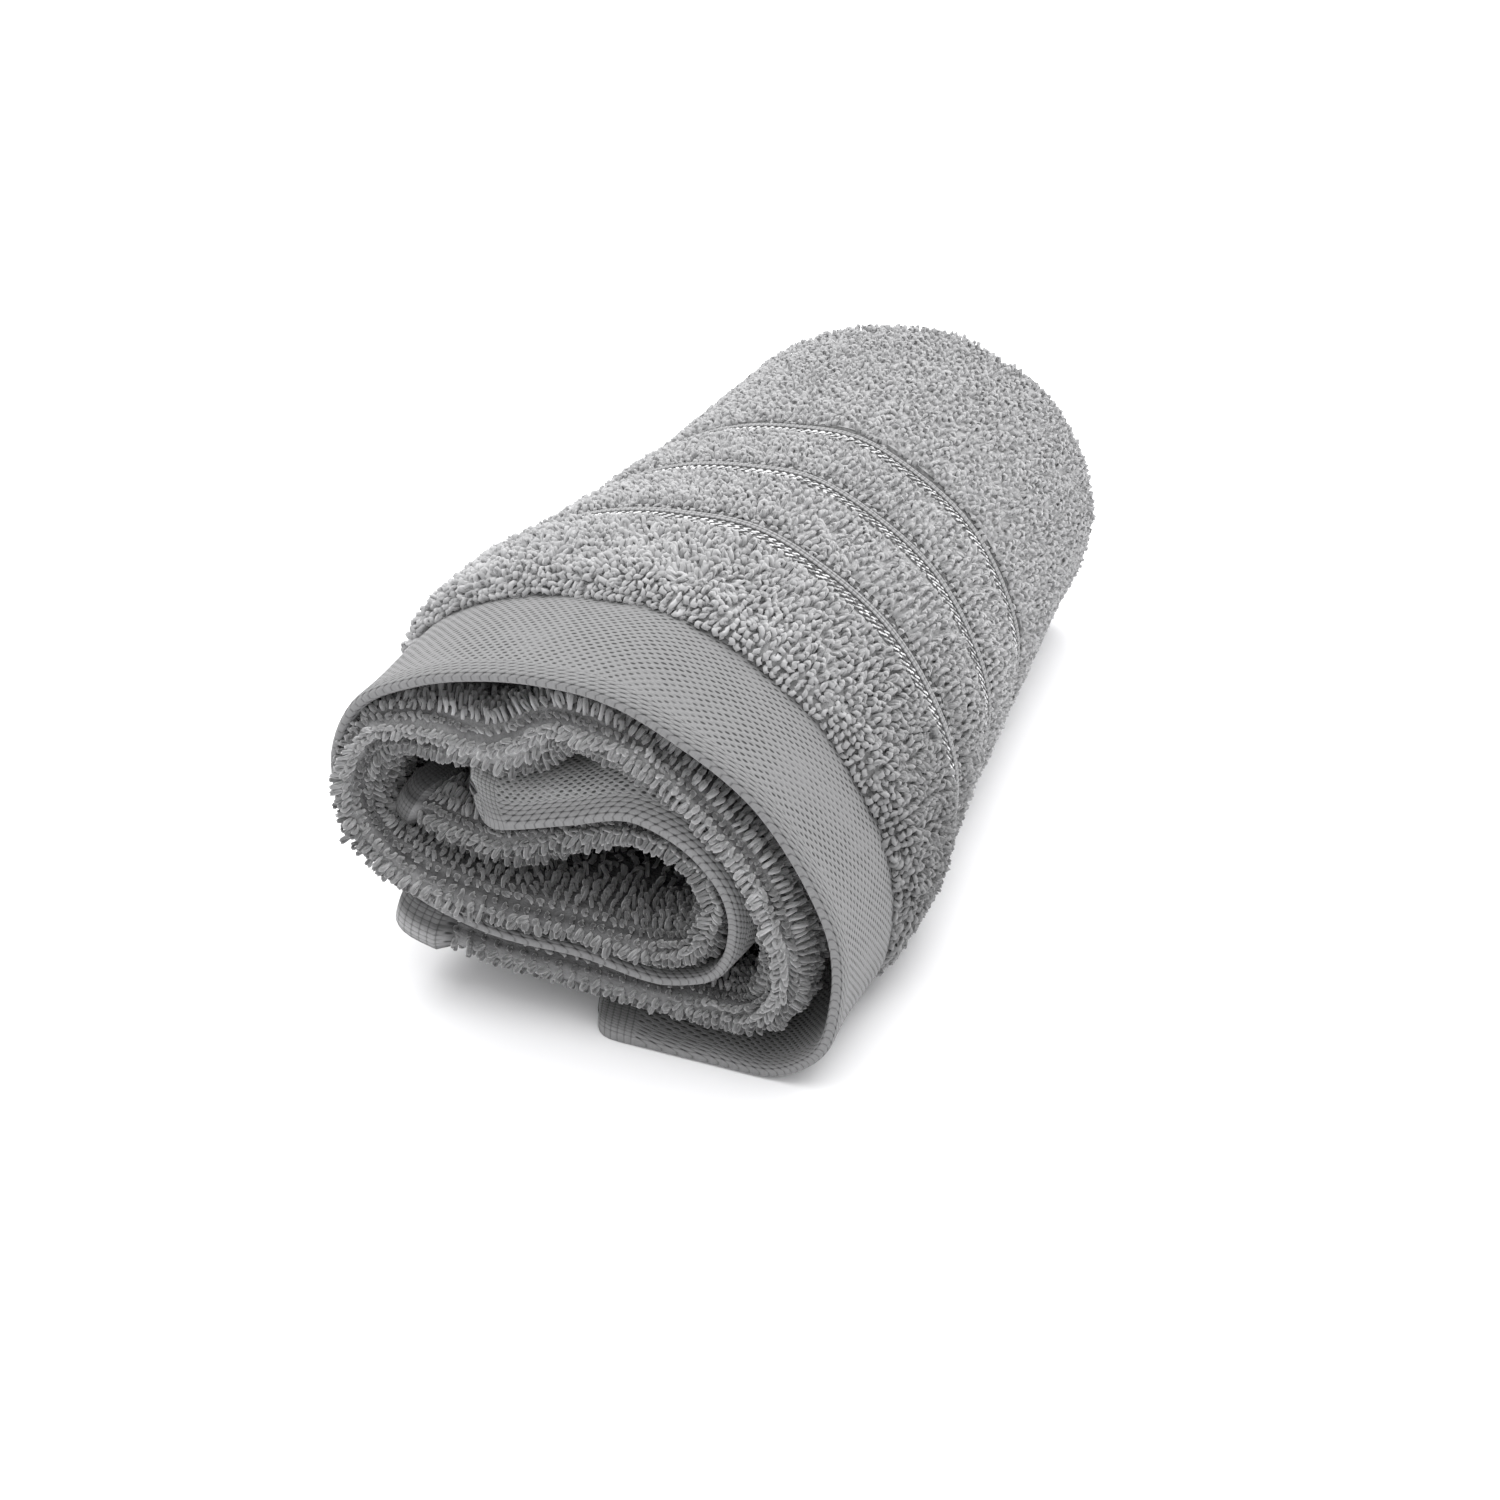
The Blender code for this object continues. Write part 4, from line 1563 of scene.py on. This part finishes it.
def run_tree(base: bpy.types.Object, tree: bpy.types.NodeTree, values: dict, name: str) -> bpy.types.Object:
    """Run a tree on an object and keep the result as a plain mesh.

    Args:
        base: The object that the tree works on, which is removed.
        tree: The Geometry Nodes tree.
        values: What its named inputs get.
        name: The new object's name.

    Returns:
        The new object, at the origin.
    """
    modifier = base.modifiers.new("tree", "NODES")
    modifier.node_group = tree
    for item in tree.interface.items_tree:
        if item.item_type == "SOCKET" and item.in_out == "INPUT" and item.name in values:
            modifier[item.identifier] = values[item.name]
    base.update_tag()
    bpy.context.view_layer.update()
    evaluated = base.evaluated_get(bpy.context.evaluated_depsgraph_get())
    mesh = bpy.data.meshes.new_from_object(evaluated)
    mesh.name = name
    base.modifiers.clear()
    bpy.data.objects.remove(base)
    thing = bpy.data.objects.new(name, mesh)
    bpy.context.scene.collection.objects.link(thing)
    return thing


def random_number(sheet: NodeSheet, low: float, high: float, seed: Seed) -> bpy.types.NodeSocket:
    """A random number for each point, from a fixed seed."""
    feeds = {2: low, 3: high, "Seed": seed.value}
    return sheet.add("FunctionNodeRandomValue", feeds, data_type=Kind.NUMBER.value).outputs[1]


def random_vector(sheet: NodeSheet, reach: float, seed: Seed) -> bpy.types.NodeSocket:
    """A random vector for each point, whose three numbers are at most `reach` from 0."""
    feeds = {0: (-reach,) * 3, 1: (reach,) * 3, "Seed": seed.value}
    return sheet.add("FunctionNodeRandomValue", feeds, data_type=Kind.VECTOR.value).outputs[0]


def named(sheet: NodeSheet, name: str, kind: Kind = Kind.NUMBER) -> bpy.types.NodeSocket:
    """Read an attribute of the geometry by its name."""
    return sheet.add("GeometryNodeInputNamedAttribute", {"Name": name}, data_type=kind.value).outputs[0]


def store(
    sheet: NodeSheet, geometry: object, name: str, value: object, kind: Kind, domain: str = "POINT"
) -> bpy.types.Node:
    """Keep a value on the geometry under a name, for each of what `domain` says."""
    feeds = {"Geometry": geometry, "Name": name, "Value": value}
    return sheet.add("GeometryNodeStoreNamedAttribute", feeds, data_type=kind.value, domain=domain)


def shapes_of(sheet: NodeSheet, group: object) -> bpy.types.Node:
    """Take the templates of a collection, each as an instance of its own."""
    feeds = {"Collection": group, "Separate Children": True, "Reset Children": True}
    return sheet.add("GeometryNodeCollectionInfo", feeds)


def facing(sheet: NodeSheet, vector: object, axis: str) -> bpy.types.Node:
    """A rotation whose own axis points along a vector."""
    return sheet.add("FunctionNodeAlignRotationToVector", {"Vector": vector}, axis=axis)


def rolled(sheet: NodeSheet, rotation: object, pivot: str, vector: object, axis: str) -> bpy.types.Node:
    """Turn a rotation about its own pivot until another axis comes nearest to a vector."""
    feeds = {"Rotation": rotation, "Vector": vector}
    return sheet.add("FunctionNodeAlignRotationToVector", feeds, axis=axis, pivot_axis=pivot)


def turned(sheet: NodeSheet, rotation: object, angle: object) -> bpy.types.Node:
    """Turn a rotation about its own Z.

    Args:
        sheet: The tree's nodes.
        rotation: The rotation to turn.
        angle: By how much.

    Returns:
        The node that gives the new rotation.
    """
    turn = sheet.add("FunctionNodeAxisAngleToRotation", {"Axis": (0.0, 0.0, 1.0), "Angle": angle})
    feeds = {"Rotation": rotation, "Rotate By": turn}
    return sheet.add("FunctionNodeRotateRotation", feeds, rotation_space="LOCAL")


def finish_tree(
    sheet: NodeSheet, source: bpy.types.Node, geometry: object, out: bpy.types.Node, domain: str = "INSTANCE"
) -> None:
    """End a tree: a tone, real meshes, smooth shading and the material.

    Args:
        sheet: The tree's nodes.
        source: Its input node.
        geometry: The instances or the mesh.
        out: Its output node.
        domain: What gets a tone each: an instance, or a point of the mesh.
    """
    tone = random_number(sheet, 0.0, 1.0, Seed.TONE)
    toned = store(sheet, geometry, "tone", tone, Kind.NUMBER, domain)
    real = sheet.add("GeometryNodeRealizeInstances", {"Geometry": toned})
    even = sheet.add("GeometryNodeSetShadeSmooth", {"Geometry": real})
    feeds = {"Geometry": even, "Material": source.outputs["Material"]}
    sheet.feed(out.inputs[0], sheet.add("GeometryNodeSetMaterial", feeds))


@dataclass
class TerryPile:
    """The pile: loops on a patch of cloth, in ranks or scattered, which lean, twist and stand unevenly."""

    name: str
    mark: str
    loop: TerryLoop
    seed: int
    outer: bool = True
    # How far apart the loops are: the least distance of scattered ones, or both pitches of the ranks.
    spacing: float = 0.0
    ranks: tuple[float, ...] = ()
    tousle: float = 0.9
    jitter: float = 0.35
    clump: float = 6.0
    spin: float = 0.8
    size: float = 1.0
    reach: float = 1.0
    shake: float = 0.22
    # How uneven the loops' heights and girths are, and the least height of one.
    heights: tuple[float, float] = (0.72, 1.15)
    girths: tuple[float, float] = (0.85, 1.15)
    least_height: float = 0.25

    def places(self, sheet: NodeSheet, source: bpy.types.Node) -> tuple[object, object, object]:
        """Place the loops, in shaken ranks on the patch's own points or else scattered over it.

        Args:
            sheet: The tree's nodes.
            source: Its input node.

        Returns:
            The points, the direction out of the cloth there, and which of them carry a loop.
        """
        ground = source.outputs["Geometry"]
        if self.ranks:
            moved = random_vector(sheet, self.shake * self.ranks[0] * MM, Seed.PLACE)
            out = sheet.add("GeometryNodeInputNormal")
            kept = store(sheet, ground, "outward", out, Kind.VECTOR)
            points = sheet.add("GeometryNodeSetPosition", {"Geometry": kept, "Offset": moved})
            feeds = {0: named(sheet, "cover"), 1: 0.5}
            covered = sheet.add("FunctionNodeCompare", feeds, operation="GREATER_THAN")
            return points, named(sheet, "outward", Kind.VECTOR), covered
        spacing = source.outputs["Spacing"]
        feeds = {
            "Mesh": ground,
            "Distance Min": spacing,
            "Density Max": sheet.math("DIVIDE", 4.0, sheet.math("MULTIPLY", spacing, spacing)),
            "Density Factor": named(sheet, "cover"),
            "Seed": source.outputs["Seed"],
        }
        spots = sheet.add("GeometryNodeDistributePointsOnFaces", feeds, distribute_method="POISSON")
        return spots.outputs["Points"], spots.outputs["Normal"], True

    def tree(self) -> bpy.types.NodeTree:
        """Build the tree that sets out the loops.

        Returns:
            The tree.
        """
        numbers = ("Spacing", "Tousle", "Jitter", "Clump", "Spin", "Size", "Height")
        inputs = dict.fromkeys(numbers, Socket.NUMBER)
        inputs |= {"Seed": Socket.WHOLE, "Loops": Socket.GROUP, "Material": Socket.MATERIAL}
        sheet, source, out = new_tree(f"{self.name}_tree", inputs)
        points, outward, covered = self.places(sheet, source)
        turn = self.rotation(sheet, source, outward)
        uneven = random_number(sheet, *self.heights, Seed.HEIGHT)
        thick = random_number(sheet, *self.girths, Seed.GIRTH)
        girth = sheet.math("MULTIPLY", source.outputs["Size"], thick)
        tall = sheet.math("DIVIDE", named(sheet, "pile"), source.outputs["Height"])
        tall = sheet.math("MULTIPLY", sheet.math("MAXIMUM", tall, self.least_height), uneven)
        scale = sheet.add("ShaderNodeCombineXYZ", {0: girth, 1: girth, 2: tall})
        feeds = {4: 0, 5: len(LOOP_SHAPES) - 1, "Seed": Seed.SHAPE.value}
        pick = sheet.add("FunctionNodeRandomValue", feeds, data_type=Kind.WHOLE.value)
        feeds = {
            "Points": points,
            "Selection": covered,
            "Instance": shapes_of(sheet, source.outputs["Loops"]),
            "Pick Instance": True,
            "Instance Index": pick.outputs[2],
            "Rotation": turn,
            "Scale": scale,
        }
        stood = sheet.add("GeometryNodeInstanceOnPoints", feeds)
        finish_tree(sheet, source, stood, out)
        return sheet.tree

    def rotation(self, sheet: NodeSheet, source: bpy.types.Node, outward: object) -> bpy.types.Node:
        """The rotation of each loop: out of the cloth, leaning, and turned about its height.

        Args:
            sheet: The tree's nodes.
            source: Its input node.
            outward: The direction out of the cloth.

        Returns:
            The last rotation node.
        """
        place = sheet.add("GeometryNodeInputPosition")
        rate = sheet.math("DIVIDE", 1.0, source.outputs["Clump"])
        noise = sheet.add("ShaderNodeTexNoise", {"Vector": place, "Scale": rate, "Detail": 1.0})
        swirl = sheet.vector("SUBTRACT", noise.outputs["Color"], (0.5, 0.5, 0.5))
        swirl = sheet.scaled(swirl, sheet.math("MULTIPLY", source.outputs["Tousle"], 3.0))
        shaken = sheet.scaled(random_vector(sheet, 1.0, Seed.JITTER), source.outputs["Jitter"])
        lean = sheet.vector("ADD", named(sheet, "lean", Kind.VECTOR), shaken)
        lean = sheet.vector("ADD", lean, swirl)
        upright = facing(sheet, sheet.vector("ADD", outward, lean), "Z")
        along = rolled(sheet, upright, "Z", named(sheet, "grain", Kind.VECTOR), "X")
        spin = random_number(sheet, -1.0, 1.0, Seed.SPIN)
        return turned(sheet, along, sheet.math("MULTIPLY", spin, source.outputs["Spin"]))

    def build(self, cloth: TowelCloth, material: bpy.types.Material) -> bpy.types.Object:
        """Build the pile on its patch of the cloth.

        Args:
            cloth: The towel's sheet.
            material: The loops' material.

        Returns:
            The pile as one plain mesh.
        """
        shapes = [self.loop.build(f"{self.name}_{k}", *row) for k, row in LOOP_SHAPES.items()]
        group = gather(f"{self.name}_loops", shapes)
        values = {
            "Spacing": self.spacing * MM,
            "Tousle": self.tousle,
            "Jitter": self.jitter,
            "Clump": self.clump * MM,
            "Spin": self.spin,
            "Size": self.size,
            "Height": self.loop.height / self.reach,
            "Seed": self.seed,
            "Loops": group,
            "Material": material,
        }
        base = cloth.patch(self.mark, self.outer, self.ranks)
        pile = run_tree(base, self.tree(), values, self.name)
        discard(group)
        return pile


@dataclass
class WovenStripe:
    """One woven stripe: rows of bright slanted floats, and beside them two dull cords."""

    number: int
    form: RollForm
    floats: tuple[float, ...] = (-3.1, -2.3, -1.5, -0.7, 0.1)
    float_pitch: float = 2.0
    float_length: float = 1.15
    float_half: float = 0.27
    float_flat: float = 0.8
    float_tip: float = 0.04
    float_sides: int = 4
    float_lift: float = 0.38
    float_sink: float = 0.06
    float_stations: int = 401
    lengths: tuple[float, float] = (0.85, 1.1)
    slant: float = 22.0
    wobble: float = 0.15
    cords: tuple[float, ...] = (1.2, 2.35)
    cord_half: float = 0.36
    cord_lift: float = 0.3
    cord_sides: int = 6
    cord_stations: int = 241
    least_swell: float = 0.15
    above_floor: float = 0.3

    def line(self, offset: float, lift: float, stations: int) -> tuple[np.ndarray, np.ndarray]:
        """A line round the roll in the stripe.

        Args:
            offset: How far past the stripe's middle, along the roll.
            lift: How far above the bottom of the groove.
            stations: How many points the line has.

        Returns:
            The line's points and the directions out of the cloth there.
        """
        y = self.form.stripe_centres[self.number - 1] + offset
        share = np.linspace(0, 1, stations)
        share = share[self.form.read("swell", Layer.OUTER, share, y) > self.least_swell]
        out = self.form.stripe_face(share, y) + lift
        points, raised = (self.form.at(Layer.OUTER, share, y, out + more) for more in (0, 1))
        points[:, 2] = np.maximum(points[:, 2], self.above_floor)
        return points, raised - points

    def path(self, name: str, lines: list[tuple[np.ndarray, np.ndarray]]) -> bpy.types.Object:
        """Make an object of open lines, each point with its direction out of the cloth.

        Args:
            name: The object's name.
            lines: The points and the directions of each line.

        Returns:
            The object, linked to the scene.
        """
        points, outward = (np.concatenate([line[part] for line in lines]) for part in range(2))
        edges, start = [], 0
        for line in lines:
            count = len(line[0])
            edges += [(start + k, start + k + 1) for k in range(count - 1)]
            start += count
        mesh = bpy.data.meshes.new(name)
        mesh.from_pydata((points * MM).tolist(), edges, [])
        set_attribute(mesh, "outward", outward)
        thing = bpy.data.objects.new(name, mesh)
        bpy.context.scene.collection.objects.link(thing)
        return thing

    def float_template(self) -> bpy.types.Object:
        """Build one float: a short, flat yarn that tapers at both ends.

        Returns:
            The float's object.
        """
        t = np.linspace(-1, 1, 5)
        girth = self.float_half * np.sqrt(np.clip(1 - np.abs(t) ** 3, self.float_tip, 1))
        rings = []
        for k in range(self.float_sides):
            a = 2 * math.pi / self.float_sides * k
            wide, tall = girth * math.cos(a), girth * math.sin(a) * self.float_flat
            rings.append(np.column_stack([t * self.float_length / 2, wide, tall]))
        points = np.stack(rings, axis=1)
        return mesh_object(f"float_{self.number}", points.reshape(-1, 3), tube_faces(points))

    def float_tree(self) -> bpy.types.NodeTree:
        """Build the tree that sets floats along lines.

        Returns:
            The tree.
        """
        inputs = {
            "Pitch": Socket.NUMBER,
            "Slant": Socket.NUMBER,
            "Floats": Socket.GROUP,
            "Material": Socket.MATERIAL,
        }
        sheet, source, out = new_tree(f"floats_{self.number}", inputs)
        curve = sheet.add("GeometryNodeMeshToCurve", {"Mesh": source.outputs["Geometry"]})
        even = sheet.add("GeometryNodeResampleCurve", {"Curve": curve}, mode="LENGTH")
        sheet.feed(even.inputs["Length"], source.outputs["Pitch"])
        along = facing(sheet, sheet.add("GeometryNodeInputTangent"), "X")
        flat = rolled(sheet, along, "X", named(sheet, "outward", Kind.VECTOR), "Z")
        wobble = random_number(sheet, -self.wobble, self.wobble, Seed.WOBBLE)
        size = random_number(sheet, *self.lengths, Seed.FLOAT_SIZE)
        feeds = {
            "Points": even,
            "Instance": shapes_of(sheet, source.outputs["Floats"]),
            "Rotation": turned(sheet, flat, sheet.math("ADD", source.outputs["Slant"], wobble)),
            "Scale": sheet.add("ShaderNodeCombineXYZ", {0: size, 1: 1.0, 2: 1.0}),
        }
        laid = sheet.add("GeometryNodeInstanceOnPoints", feeds)
        finish_tree(sheet, source, laid, out)
        return sheet.tree

    def cord_tree(self) -> bpy.types.NodeTree:
        """Build the tree that sweeps a cord along lines.

        Returns:
            The tree.
        """
        inputs = {"Radius": Socket.NUMBER, "Sides": Socket.WHOLE, "Material": Socket.MATERIAL}
        sheet, source, out = new_tree(f"cords_{self.number}", inputs)
        curve = sheet.add("GeometryNodeMeshToCurve", {"Mesh": source.outputs["Geometry"]})
        run = sheet.add("GeometryNodeSplineParameter").outputs["Length"]
        marked = store(sheet, curve, "run", run, Kind.NUMBER)
        ring = sheet.add("GeometryNodeCurvePrimitiveCircle", {"Resolution": source.outputs["Sides"]})
        sheet.feed(ring.inputs["Radius"], source.outputs["Radius"])
        feeds = {"Curve": marked, "Profile Curve": ring, "Fill Caps": True}
        tube = sheet.add("GeometryNodeCurveToMesh", feeds)
        finish_tree(sheet, source, tube, out, "POINT")
        return sheet.tree

    def build(self, bright: bpy.types.Material, dull: bpy.types.Material) -> list[bpy.types.Object]:
        """Build the stripe's floats and cords.

        Args:
            bright: The floats' material.
            dull: The cords' material.

        Returns:
            The floats and the cords, each one plain mesh.
        """
        lines = []
        for k, offset in enumerate(self.floats):
            lift = self.float_lift - k * self.float_sink
            points, outward = self.line(offset, lift, self.float_stations)
            lead = self.float_pitch / 2 if k % 2 else 0.0
            start = int(lead / max(np.linalg.norm(points[1] - points[0]), 0.1))
            lines.append((points[start:], outward[start:]))
        group = gather(f"float_shapes_{self.number}", [self.float_template()])
        values = {
            "Pitch": self.float_pitch * MM,
            "Slant": math.radians(self.slant),
            "Floats": group,
            "Material": bright,
        }
        base = self.path(f"float_lines_{self.number}", lines)
        floats = run_tree(base, self.float_tree(), values, f"stripe_{self.number}_floats")
        discard(group)
        lines = [self.line(offset, self.cord_lift, self.cord_stations) for offset in self.cords]
        base = self.path(f"cord_lines_{self.number}", lines)
        values = {"Radius": self.cord_half * MM, "Sides": self.cord_sides, "Material": dull}
        cords = run_tree(base, self.cord_tree(), values, f"stripe_{self.number}_cords")
        return [floats, cords]


@dataclass
class Studio:
    """A plain pale floor, soft light from all round and from above, and the camera."""

    floor_size: float = 160.0
    sky: float = 1.04
    sun: float = 3.65
    sun_spread: float = 80.0
    sun_tilt: tuple[float, float] = (-14.0, -5.0)
    camera_place: tuple[float, float, float] = (108.75, -326.35, 190.65)
    yaw: float = 20.343
    pitch: float = 28.605
    focal_pixels: float = 1390.0
    image_pixels: float = 1500.0

    def build(self) -> None:
        """Build the floor, the lights and the camera."""
        half = self.floor_size / 2 / MM
        corners = np.array([(-half, -half, 0), (half, -half, 0), (half, half, 0), (-half, half, 0)])
        floor = mesh_object("floor", corners, [(0, 1, 2, 3)])
        floor.data.materials.append(PaperWhite().material())
        world = bpy.data.worlds.new("soft_room")
        world.use_nodes = True
        background = world.node_tree.nodes["Background"]
        background.inputs["Color"].default_value = (1.0, 1.0, 1.0, 1.0)
        background.inputs["Strength"].default_value = self.sky
        bpy.context.scene.world = world
        light = bpy.data.lights.new("soft_box", "SUN")
        light.energy = self.sun
        light.angle = math.radians(self.sun_spread)
        lamp = bpy.data.objects.new("soft_box", light)
        lamp.rotation_euler = [math.radians(a) for a in (*self.sun_tilt, 0.0)]
        bpy.context.scene.collection.objects.link(lamp)
        self.build_camera()
        bpy.context.scene.view_settings.view_transform = "Standard"

    def build_camera(self) -> None:
        """Build the camera at the photograph's viewing angle."""
        yaw, pitch = math.radians(self.yaw), math.radians(self.pitch)
        right = (math.cos(yaw), math.sin(yaw), 0.0)
        forward = (-math.sin(yaw) * math.cos(pitch), math.cos(yaw) * math.cos(pitch), -math.sin(pitch))
        up = (-math.sin(yaw) * math.sin(pitch), math.cos(yaw) * math.sin(pitch), math.cos(pitch))
        turn = Matrix([right, up, [-f for f in forward]]).transposed().to_4x4()
        data = bpy.data.cameras.new("view")
        data.sensor_width = 36.0
        data.lens = data.sensor_width * self.focal_pixels / self.image_pixels
        data.clip_start, data.clip_end = 0.01, 300.0
        camera = bpy.data.objects.new("view", data)
        camera.matrix_world = Matrix.Translation([c * MM for c in self.camera_place]) @ turn
        bpy.context.scene.collection.objects.link(camera)
        bpy.context.scene.camera = camera


def triangles(thing: bpy.types.Object) -> int:
    """How many triangles an object has."""
    return sum(len(face.vertices) - 2 for face in thing.data.polygons)


def main() -> None:
    """Build the towel and its studio, piece by piece."""
    logging.basicConfig(level=logging.INFO, format="%(name)s: %(message)s")
    form = RollForm()
    # One cotton in two copies: a lighter one, painted light, for the outer layer's loops on top of the roll,
    # and a darker one, painted shade, for the ridge and the hollow.
    cotton = PileCotton().material()
    nap = PileCotton("nap_loops", light=0.48, dark=0.45, foot=1.12, sheen=0.12).material()
    cloth = TowelCloth(form)
    sheet = cloth.build(
        [
            HemWeave().material(),
            GroundCloth("terry_ground", light=0.43, dark=0.36).material(),
            # The stripes' ground is painted dark: painted shade in the stripes' sunken grooves.
            GroundCloth("stripe_ground", light=0.16, dark=0.06).material(),
        ]
    )
    near = TerryLoop(yarn=0.6, segments=7, sunk=1.3)
    mid = TerryLoop(yarn=0.6, segments=7, sunk=1.5)
    distant = TerryLoop(yarn=0.66, segments=5, sunk=1.4)
    far = TerryLoop(yarn=0.5, segments=5)
    tooth = TerryLoop(height=3.2, yarn=0.42, sides=4, segments=7, slim=0.7)
    ridge = {"tousle": 0.35, "jitter": 0.16, "spin": 0.5, "shake": 0.15, "reach": 1.1, "ranks": (1.7, 1.9)}
    close = {"tousle": 1.2, "jitter": 0.3, "spin": 0.9, "reach": 1.9, "ranks": (1.5, 1.35)}
    loose = {"tousle": 1.1, "jitter": 0.3, "spin": 0.9, "reach": 1.7, "ranks": (1.7, 1.45)}
    piles = [
        TerryPile("pile_band_1", "band_1", near, seed=21, **close),
        TerryPile("pile_band_2", "band_2", mid, seed=22, **loose),
        TerryPile("pile_band_3", "band_3", mid, seed=23, **loose),
        TerryPile("pile_far", "band_4", distant, seed=24, spacing=1.72, tousle=1.1, reach=1.35, size=1.15),
        TerryPile("pile_back_fold", "back_fold", distant, seed=25, spacing=1.5, reach=1.6, size=1.1),
        TerryPile("pile_ridge_outer", "ridge_outer", tooth, seed=26, outer=False, **ridge),
        TerryPile("pile_ridge_inner", "ridge_inner", tooth, seed=28, outer=False, **ridge),
        TerryPile("pile_hollow", "hollow", far, seed=27, outer=False, spacing=2.2, size=1.2),
    ]
    parts = [pile.build(cloth, nap if pile.outer else cotton) for pile in piles]
    # The floats' near-white colour is a painted highlight for the satin's glints, beside its real gloss.
    bright = BandYarn("satin_yarn", light=0.98, dark=0.22, rough=0.35, gloss=0.6).material()
    cord = BandYarn("cord_yarn", light=0.38, dark=0.32, rough=0.9, gloss=0.25, twist_depth=0.55)
    dull = cord.material()
    for number in range(1, len(form.stripe_centres) + 1):
        parts += WovenStripe(number, form).build(bright, dull)
    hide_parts(NODE)
    total = 0
    for piece in [sheet, *parts]:
        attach(piece, BODY)
        total += triangles(piece)
        log.info("%s: %d triangles", piece.name, triangles(piece))
    log.info("all pieces: %d triangles", total)
    Studio().build()


if __name__ == "__main__":
    main()
